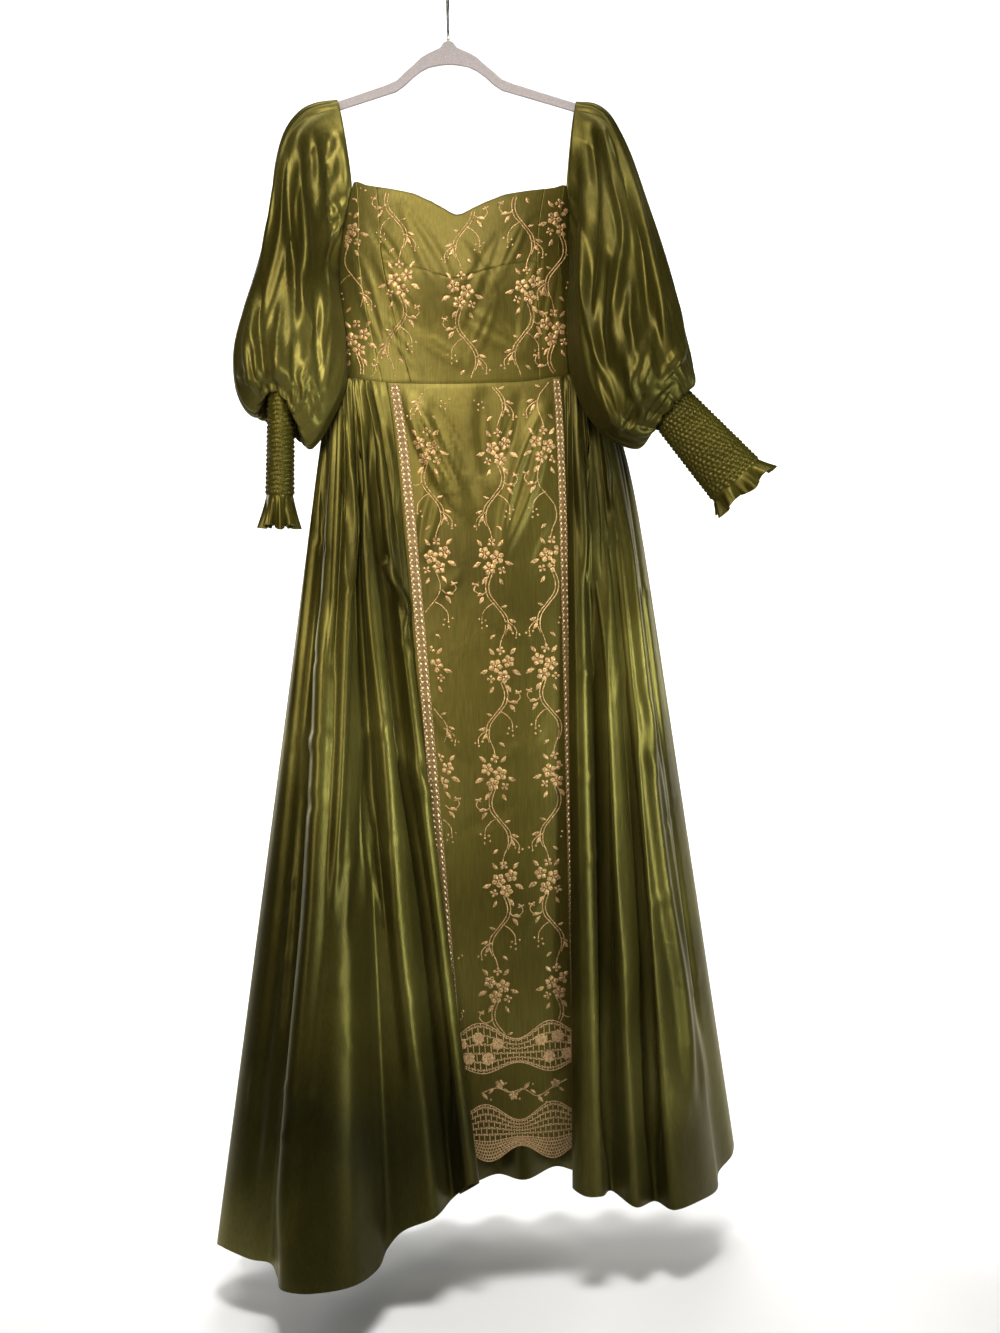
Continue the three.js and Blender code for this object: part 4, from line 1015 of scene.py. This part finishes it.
def wire_hook():
    """The hook's round wire, swept along its route in the plane across the hanger."""
    centre = WIRE_RADIUS - HOOK_RADIUS
    angles = [deg * DEG for deg in range(180, -31, -15)]
    curl = [(HOOK_RADIUS * math.cos(angle), centre + HOOK_RADIUS * math.sin(angle)) for angle in angles]
    route = smooth_path([*HOOK_STEM, *curl], 3)
    heading = unit(np.gradient(route, axis=0))
    bm = bmesh.new()
    for (y, z), (along_y, along_z) in zip(route, heading):
        turn = Matrix(((1, 0, 0), (0, -along_z, along_y), (0, along_y, along_z))).to_4x4()
        place = Matrix.Translation(Vector((0, y * MM, z * MM)))
        bmesh.ops.create_circle(bm, segments=20, radius=WIRE_RADIUS * MM, matrix=place @ turn)
    bmesh.ops.bridge_loops(bm, edges=bm.edges[:])
    ends = [edge for edge in bm.edges if edge.is_boundary]
    bmesh.ops.holes_fill(bm, edges=ends, sides=20)
    bmesh.ops.recalc_face_normals(bm, faces=bm.faces)
    return to_object("wire_hook", bm)


# Materials

def linear(value):
    """sRGB hex to Blender's linear colour."""
    channels = [int(value[i:i + 2], 16) / 255 for i in (1, 3, 5)]
    return tuple(c / 12.92 if c <= 0.04045 else ((c + 0.055) / 1.055) ** 2.4 for c in channels) + (1.0,)


def node(tree, kind, links=(), stops=(), **settings):
    """Adds a node: links maps its inputs to sockets or values, and stops are positions and hex colours."""
    made = tree.nodes.new(kind)
    for key, value in settings.items():
        setattr(made, key, value)
    for key, value in dict(links).items():
        if isinstance(value, bpy.types.NodeSocket):
            tree.links.new(value, made.inputs[key])
        else:
            made.inputs[key].default_value = value
    while stops and len(made.color_ramp.elements) < len(stops):
        made.color_ramp.elements.new(0.5)
    for number, (position, colour) in enumerate(stops):
        made.color_ramp.elements[number].position = position
        made.color_ramp.elements[number].color = linear(colour)
    return made


def new_material(name, values):
    """A material with one shader and its values; gives back the material, its node tree and the shader."""
    material = bpy.data.materials.new(name)
    material.use_nodes = True
    tree = material.node_tree
    tree.nodes.clear()
    shader = node(tree, "ShaderNodeBsdfPrincipled", values)
    node(tree, "ShaderNodeOutputMaterial", {"Surface": shader.outputs["BSDF"]})
    return material, tree, shader


def satin_material(name, pale, mid, dark, roughness, metallic):
    """Polyester satin: a warp-faced weave whose long floats give broad, yarn-coloured highlights."""
    material, tree, shader = new_material(name, {
        "Roughness": roughness, "Metallic": metallic,
        "Specular IOR Level": 0.4, "Specular Tint": linear("#bebaa0"),
        "Sheen Weight": 0.05, "Sheen Roughness": 0.4, "Sheen Tint": linear("#c9c48a"),
    })
    place = node(tree, "ShaderNodeTexCoord").outputs["Object"]
    # Clouds of shade 150 to 300 mm wide: partly real unevenness of the dye, partly painted sheen and shade
    # where the lie of the floats catches more or less light
    cloud = node(tree, "ShaderNodeTexNoise", {"Vector": place, "Scale": 3.2, "Detail": 2, "Roughness": 0.5})
    shades = (0.25, dark), (0.5, mid), (0.78, pale)
    shade = node(tree, "ShaderNodeValToRGB", {"Fac": cloud.outputs["Fac"]}, shades)
    # Slubs: thin streaks along the warp, drawn 1.5 mm wide so that they show
    stretched = node(tree, "ShaderNodeMapping", {"Vector": place, "Scale": (650, 650, 26)})
    slub = node(tree, "ShaderNodeTexNoise", {"Vector": stretched.outputs[0], "Scale": 1, "Detail": 2})
    greys = (0.35, "#b9b9b9"), (0.7, "#ffffff")
    streaks = node(tree, "ShaderNodeValToRGB", {"Fac": slub.outputs["Fac"]}, greys)
    colour = node(
        tree, "ShaderNodeMix", {0: 0.5, 6: shade.outputs["Color"], 7: streaks.outputs["Color"]},
        data_type="RGBA", blend_type="MULTIPLY")
    # Fine crumples of 40 mm and less that the hanging folds carry
    crumple = node(tree, "ShaderNodeTexNoise", {
        "Vector": place, "Scale": 26, "Detail": 3, "Roughness": 0.5, "Distortion": 0.6,
    })
    soft = node(tree, "ShaderNodeBump", {
        "Height": crumple.outputs["Fac"], "Strength": 0.3, "Distance": 0.003,
    })
    yarn = node(tree, "ShaderNodeBump", {
        "Height": slub.outputs["Fac"], "Strength": 0.12, "Distance": 0.0006, "Normal": soft.outputs["Normal"],
    })
    tree.links.new(colour.outputs[2], shader.inputs["Base Color"])
    tree.links.new(yarn.outputs["Normal"], shader.inputs["Normal"])
    return material


def grained_material(name, values, grain_values, stops, strength, distance):
    """A material with one fine grain that sets its colour and its relief."""
    material, tree, shader = new_material(name, values)
    place = node(tree, "ShaderNodeTexCoord").outputs["Object"]
    grain = node(tree, "ShaderNodeTexNoise", {"Vector": place, **grain_values})
    colour = node(tree, "ShaderNodeValToRGB", {"Fac": grain.outputs["Fac"]}, stops)
    bump = node(tree, "ShaderNodeBump", {
        "Height": grain.outputs["Fac"], "Strength": strength, "Distance": distance,
    })
    tree.links.new(colour.outputs["Color"], shader.inputs["Base Color"])
    tree.links.new(bump.outputs["Normal"], shader.inputs["Normal"])
    return material


def thread_material(name, pale, dark, scale, roughness, metallic):
    """Metallised thread laid side by side: the grain that raises its ridges also paints them bright, as
    painted highlight, and paints the gaps between stitches darker, as painted shade.
    """
    # A thread is about 0.4 mm thick, and its ridges are drawn 2 mm wide so that they show
    return grained_material(
        name, {"Roughness": roughness, "Metallic": metallic}, {"Scale": scale, "Detail": 2, "Roughness": 0.7},
        ((0.34, dark), (0.62, pale)), 0.5, 0.0008)


def flock_material():
    """Nylon flock on a moulded plastic core: matt, with a faint pale nap at grazing angles."""
    # The nap is much finer than this and is drawn 1 mm wide so that it shows
    return grained_material(
        "grey_nylon_flock", {"Roughness": 0.92, "Sheen Weight": 0.5}, {"Scale": 900, "Detail": 2},
        ((0.3, "#888389"), (0.7, "#a8a2a9")), 0.3, 0.0005)


def wire_material():
    """Nickel-plated steel wire: drawn lengthwise and lightly worn."""
    material, tree, shader = new_material(
        "nickel_plated_wire", {"Base Color": linear("#b4b3b0"), "Metallic": 1.0})
    place = node(tree, "ShaderNodeTexCoord").outputs["Object"]
    # Worn patches of about 6 mm
    wear = node(tree, "ShaderNodeTexNoise", {"Vector": place, "Scale": 160, "Detail": 3})
    rough = node(tree, "ShaderNodeMapRange", {"Value": wear.outputs["Fac"], "To Min": 0.18, "To Max": 0.38})
    tree.links.new(rough.outputs[0], shader.inputs["Roughness"])
    return material


def studio_material():
    """Matt white paint, for the floor and the wall behind."""
    return new_material("matt_white_paint", {"Base Color": linear("#f4f3f1"), "Roughness": 0.9})[0]


# Operators

def shared(make, name, *values):
    """A material that is made once and then shared by its pieces."""
    if name not in bpy.data.materials:
        make(name, *values)
    return bpy.data.materials[name]


def satin(settings):
    """Satin of the skirt, the sleeves and the plain bodice panels, in the colours of the settings."""
    shades = [hex_of(colour) for colour in (settings.satin_pale, settings.satin_mid, settings.satin_dark)]
    return shared(satin_material, "olive_satin", *shades, 0.41, 0.6)


def front_satin():
    """Flat hanging satin under the embroidery, with mid and dark shades lighter than the plain satin's: the
    same cloth, painted lighter for the front where the key light falls.
    """
    return shared(satin_material, "olive_satin_front", "#6c6534", "#4f471b", "#37310d", 0.44, 0.5)


def shirred_satin():
    """Darker satin of the smocked cuffs, where the puffs shade each other."""
    return shared(satin_material, "olive_satin_shirred", "#5f5820", "#3a350e", "#221e05", 0.36, 0.5)


def hex_of(colour):
    """A stored linear colour as sRGB hex."""
    def channel(c):
        s = 12.92 * c if c <= 0.0031308 else 1.055 * c ** (1 / 2.4) - 0.055
        return round(max(0.0, min(1.0, s)) * 255)
    return "#%02x%02x%02x" % tuple(channel(c) for c in colour[:3])


class GownSettings(bpy.types.PropertyGroup):
    """Colours of the satin and thickness of its wall"""
    satin_pale: bpy.props.FloatVectorProperty(
        name="Satin, pale", description="Colour of the satin where its floats catch the light",
        subtype="COLOR", size=3, min=0, max=1, default=linear("#706a36")[:3])
    satin_mid: bpy.props.FloatVectorProperty(
        name="Satin", description="Main colour of the satin",
        subtype="COLOR", size=3, min=0, max=1, default=linear("#403b14")[:3])
    satin_dark: bpy.props.FloatVectorProperty(
        name="Satin, dark", description="Colour of the satin in its darker clouds",
        subtype="COLOR", size=3, min=0, max=1, default=linear("#242107")[:3])
    cloth_thickness: bpy.props.FloatProperty(
        name="Cloth thickness", description="Thickness of the satin's wall in millimetres",
        default=0.9, min=0.3, max=1.2)


class GOWN_OT_bodice(bpy.types.Operator):
    """Make the bodice's eight panels"""
    bl_idname = "gown.bodice"
    bl_label = "Bodice"

    def execute(self, context):
        settings = context.scene.gown
        for panel in BODICE_PANELS:
            name, top, _, low, high = panel
            columns = int(10 + abs(top[1] - top[0]) * 0.9)
            rows = 26 if high - low < 1 else 46
            # Flat size in metres: 2.1 mm for a degree round the bodice, 240 mm for its height, and the seams
            size = (0.0021 * abs(top[1] - top[0]) + 0.01, 0.24 * (high - low) + 0.02)
            piece = sheet_mesh("satin_" + name, bodice_panel_surface(panel), columns, rows, size)
            thicken(piece, settings.cloth_thickness)
            if "centre" in name or "front" in name:
                dress(piece, front_satin(), "embroidered_satin", name)
            else:
                dress(piece, satin(settings), "satin", name)
        return {"FINISHED"}


class GOWN_OT_skirt(bpy.types.Operator):
    """Make the gathered skirt and its straight front panel"""
    bl_idname = "gown.skirt"
    bl_label = "Skirt"

    def execute(self, context):
        settings = context.scene.gown
        for name, first, last in SKIRT_PIECES:
            surface = skirt_surface(first, last)
            if "back" in name:
                surface = creased(surface, BACK_CREASES, 1, BACK_FOLDS)
                columns, rows = 9 * (last - first), 120
            else:
                surface = creased(surface, SKIRT_CREASES, -1, FRONT_FOLDS)
                columns, rows = 12 * (last - first), 136
            piece = sheet_mesh("satin_" + name, surface, columns, rows, (0.9, 1.15))
            thicken(piece, settings.cloth_thickness)
            dress(piece, satin(settings), "satin", name)
        panel = sheet_mesh("satin_skirt_front_panel", panel_surface, 56, 150, (0.25, 1.06))
        thicken(panel, settings.cloth_thickness)
        dress(panel, front_satin(), "embroidered_satin", "skirt_front_panel")
        return {"FINISHED"}


class GOWN_OT_embroidery(bpy.types.Operator):
    """Embroider the bodice and the front panel with blossoming vines"""
    bl_idname = "gown.embroidery"
    bl_label = "Embroidery"

    def execute(self, context):
        thread = thread_material("gold_metallised_thread", "#b09061", "#5a4127", 420, 0.42, 0.4)

        def in_panel(x, z):
            share = panel_share(x, z)
            margin = (BRAID_MIDDLE + BRAID_HALF + 1) / panel_width(z)
            low = band_level(UPPER_BAND, share, 0) + 1
            return (share > margin) & (share < 1 - margin) & (z < panel_waist(share) - 5) & (z > low)
        parts = [part for column in PANEL_VINES for part in vine(*column, in_panel)]
        parts.append(ribbon(smooth_path(HEM_SPRIG), STEM_WIDTH, STEM_HEIGHT))
        for number, (x, z) in enumerate(HEM_SPRIG[:-1]):
            side = 1 if number % 2 else -1
            parts.append(petal(x, z, (90 + 50 * side) * DEG, 12, 5, 0.5, 0.9))
            parts.append(petal(x + 9, z - 1, (90 - 40 * side) * DEG, 9, 4, 0.5, 0.9))
            if number in (1, 2, 5):
                parts += blossom(x + 4, z + 5 * side, 6.5, 5, 0.4 * number)
            parts.append(knot(x + 12, z + 8 * side, 3.2, 3.0, 0.8))
        lay("embroidery_front_panel", parts, on_panel, thread, "embroidered_satin", THREAD_THICKNESS)

        def in_bodice(x, z):
            deg = bodice_deg(x, z)
            return (z > waist_level(deg) + 5) & (z < top_level(deg) - 4) & (np.abs(deg) < 74)
        parts = [part for column in BODICE_VINES for part in vine(*column, in_bodice)]
        lay("embroidery_bodice", parts, on_bodice, thread, "embroidered_satin", THREAD_THICKNESS)
        return {"FINISHED"}


class GOWN_OT_trimmings(bpy.types.Operator):
    """Sew on the two braids and the two scalloped lace bands"""
    bl_idname = "gown.trimmings"
    bl_label = "Braid and lace"

    def execute(self, context):
        braid_thread = thread_material("gold_braid_cord", "#776139", "#43331b", 500, 0.5, 0.25)
        knot_thread = thread_material("pale_gold_knots", "#ecd4ac", "#b8946a", 400, 0.4, 0.3)
        lace_thread = thread_material("gold_crochet_cotton", "#b8986c", "#7a5c38", 500, 0.55, 0.15)
        for name, side in (("braid_left", 1), ("braid_right", -1)):
            def along_edge(offset, z, side=side):
                return panel_at(braid_share(side, z, offset), z)
            top = float(panel_waist(braid_share(side, BRAID_TOP))) - BRAID_TOP_GAP
            bottom = float(band_level(UPPER_BAND, braid_share(side, BRAID_BOTTOM), 0)) + BRAID_END_GAP
            ground, knots = braid_ground(top, bottom), braid_knots(top, bottom)
            lay("gold_" + name, ground, along_edge, braid_thread, "gold_braid", CORD_THICKNESS, name)
            lay("gold_knots_" + name, knots, along_edge, knot_thread, "gold_braid", CORD_THICKNESS)
        upper = net(UPPER_BAND, *UPPER_NET) + lace_motifs(UPPER_BAND)
        lay("lace_upper", upper, on_panel, lace_thread, "gold_lace", CORD_THICKNESS, "lace_band_upper")
        lower = [thread for pattern in LOWER_NETS for thread in net(LOWER_BAND, *pattern)]
        lay("lace_lower", lower, on_panel, lace_thread, "gold_lace", CORD_THICKNESS, "lace_band_lower")
        return {"FINISHED"}


class GOWN_OT_sleeves(bpy.types.Operator):
    """Make both bishop sleeves with their smocked cuffs"""
    bl_idname = "gown.sleeves"
    bl_label = "Sleeves and cuffs"

    def execute(self, context):
        settings = context.scene.gown
        for side, rings, strap, cuff in (
            ("left", SLEEVE_LEFT, STRAP_LEFT, CUFF_LEFT), ("right", SLEEVE_RIGHT, STRAP_RIGHT, CUFF_RIGHT),
        ):
            sleeve = sleeve_surface(rings, strap, cuff)
            piece = sheet_mesh("satin_sleeve_" + side, sleeve, 168, 96, (0.5, 0.55), closed=True)
            thicken(piece, settings.cloth_thickness)
            dress(piece, satin(settings), "satin", "sleeve_" + side)
            end = sheet_mesh("satin_cuff_" + side, cuff_surface(cuff), 132, 104, (0.2, 0.18), closed=True)
            thicken(end, CUFF_THICKNESS)
            dress(end, shirred_satin(), "shirred_satin", "cuff_" + side)
        return {"FINISHED"}


class GOWN_OT_hanger(bpy.types.Operator):
    """Finish the hanger's body and hook"""
    bl_idname = "gown.hanger"
    bl_label = "Hanger"

    def execute(self, context):
        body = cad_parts["hanger_body"]
        body.data.materials.clear()
        body.data.materials.append(flock_material())
        dress(wire_hook(), wire_material(), "steel_wire", "hanger_hook")
        return {"FINISHED"}


# Stage: the camera that was solved from the photo, with its focal length and the photo's height in
# pixels, its place, and how far it looks down and leans, in degrees
FOCAL_PX, PHOTO_HIGH, SENSOR_HEIGHT = 1852, 1333, 36
CAMERA_PLACE = (0.056, -2.4863, -0.6297)
CAMERA_PITCH, CAMERA_ROLL = 6.0, 0.8
FLOOR_LEVEL = -1.72
# White sweep: where its floor begins and starts to bend up, bend radius, length along it, half width; metres
SWEEP_FRONT, SWEEP_BEND, SWEEP_RADIUS, SWEEP_LENGTH, SWEEP_HALF_WIDTH = -5, 4.2, 1.2, 16, 7
# The wall is narrower than the floor, from this far back on, so that steep folds don't mirror it
SWEEP_NARROWS, WALL_HALF_WIDTH = 3.4, 2.35
WORLD_COLOUR, WORLD_STRENGTH = "#eef0f2", 0.025
# Lights: place and target in metres, size, spread in degrees, watts, colour
LIGHTS = (
    ("key", (-0.15, -1.9, 0.5), (0.02, 0.0, -0.46), 0.8, 46, 5.9, "#fff6e4"),
    ("left", (-0.9, -2.1, -0.55), (-0.18, 0.0, -0.72), 0.5, 36, 1.6, "#fff4dc"),
    ("right", (1.8, -1.2, -1.1), (0.2, 0.0, -0.95), 0.5, 46, 4.1, "#f2f8e6"),
    ("front", (0.3, -2.8, -0.5), (0.05, 0.0, -0.9), 1.2, 140, 0.05, "#ffffff"),
    ("floor_left", (-2.3, 2.0, -0.9), (-0.3, 0.8, -1.75), 0.9, 60, 12, "#ffffff"),
    ("floor_right", (2.4, 2.0, -0.9), (0.4, 0.8, -1.75), 0.9, 60, 12, "#ffffff"),
    ("floor_front", (0.0, -0.7, 1.6), (0.0, -0.55, -1.72), 0.8, 44, 6, "#ffffff"),
    ("floor_back", (0.0, 2.6, 1.4), (0.0, 2.2, -1.72), 1.8, 110, 60, "#ffffff"),
    ("wall_left", (-2.8, 3.0, 0.6), (-0.8, 5.4, -0.5), 1.6, 140, 110, "#ffffff"),
    ("wall_right", (2.8, 3.0, 0.6), (0.8, 5.4, -0.5), 1.6, 140, 110, "#ffffff"),
)


class GOWN_OT_stage(bpy.types.Operator):
    """Make the floor, the wall behind, the lights and the camera"""
    bl_idname = "gown.stage"
    bl_label = "Stage"

    def execute(self, context):
        bm = bmesh.new()
        bmesh.ops.create_grid(bm, x_segments=4, y_segments=60, size=1)
        for vert in bm.verts:
            run = SWEEP_FRONT + (vert.co.y + 1) / 2 * SWEEP_LENGTH
            bend = max(0.0, run - SWEEP_BEND)
            angle = min(bend / SWEEP_RADIUS, math.pi / 2)
            rise = SWEEP_RADIUS * (1 - math.cos(angle)) + max(0.0, bend - SWEEP_RADIUS * math.pi / 2)
            depth = min(run, SWEEP_BEND) + SWEEP_RADIUS * math.sin(angle)
            narrowed = float(ease(max(0.0, run - SWEEP_NARROWS) / SWEEP_RADIUS))
            half = mix(SWEEP_HALF_WIDTH, WALL_HALF_WIDTH, narrowed)
            vert.co = (vert.co.x * half, depth, FLOOR_LEVEL + rise)
        sweep = to_object("studio_sweep", bm)
        sweep.data.materials.append(studio_material())
        world = bpy.data.worlds.new("studio_world")
        context.scene.world = world
        world.use_nodes = True
        background = world.node_tree.nodes["Background"]
        background.inputs["Color"].default_value = linear(WORLD_COLOUR)
        background.inputs["Strength"].default_value = WORLD_STRENGTH
        for name, place, target, size, spread, power, colour in LIGHTS:
            lamp = bpy.data.lights.new(name, "AREA")
            lamp.energy, lamp.size, lamp.color = power, size, linear(colour)[:3]
            lamp.spread = spread * DEG
            holder = bpy.data.objects.new(name, lamp)
            holder.location = place
            holder.rotation_euler = (Vector(target) - Vector(place)).to_track_quat("-Z", "Y").to_euler()
            context.scene.collection.objects.link(holder)
        data = bpy.data.cameras.new("photo_camera")
        data.sensor_fit = "VERTICAL"
        data.sensor_height = SENSOR_HEIGHT
        data.lens = FOCAL_PX * SENSOR_HEIGHT / PHOTO_HIGH
        data.clip_start = 0.05
        camera = bpy.data.objects.new("photo_camera", data)
        pitch = Matrix.Rotation((90 - CAMERA_PITCH) * DEG, 4, "X")
        roll = Matrix.Rotation(-CAMERA_ROLL * DEG, 4, "Z")
        camera.matrix_world = Matrix.Translation(CAMERA_PLACE) @ (pitch @ roll)
        context.scene.collection.objects.link(camera)
        context.scene.camera = camera
        context.scene.view_settings.view_transform = "Standard"
        return {"FINISHED"}


class GOWN_PT_panel(bpy.types.Panel):
    """Settings of the gown and a button for each step"""
    bl_label = "Gown"
    bl_idname = "GOWN_PT_panel"
    bl_space_type = "VIEW_3D"
    bl_region_type = "UI"
    bl_category = "Gown"

    def draw(self, context):
        settings = context.scene.gown
        for name in ("satin_pale", "satin_mid", "satin_dark", "cloth_thickness"):
            self.layout.prop(settings, name)
        for step in STEPS:
            self.layout.operator(step.bl_idname)


STEPS = (
    GOWN_OT_bodice, GOWN_OT_skirt, GOWN_OT_embroidery, GOWN_OT_trimmings, GOWN_OT_sleeves, GOWN_OT_hanger,
    GOWN_OT_stage,
)
CLASSES = (GownSettings, *STEPS, GOWN_PT_panel)


def register():
    """Registers the classes and adds the settings to the scene."""
    for cls in CLASSES:
        bpy.utils.register_class(cls)
    bpy.types.Scene.gown = bpy.props.PointerProperty(type=GownSettings)


def unregister():
    """Takes the settings and the classes out again."""
    del bpy.types.Scene.gown
    for cls in reversed(CLASSES):
        bpy.utils.unregister_class(cls)


def main():
    """Makes the whole gown and its stage."""
    register()
    for step in STEPS:
        group, name = step.bl_idname.split(".")
        getattr(getattr(bpy.ops, group), name)()


if __name__ == "__main__":
    main()
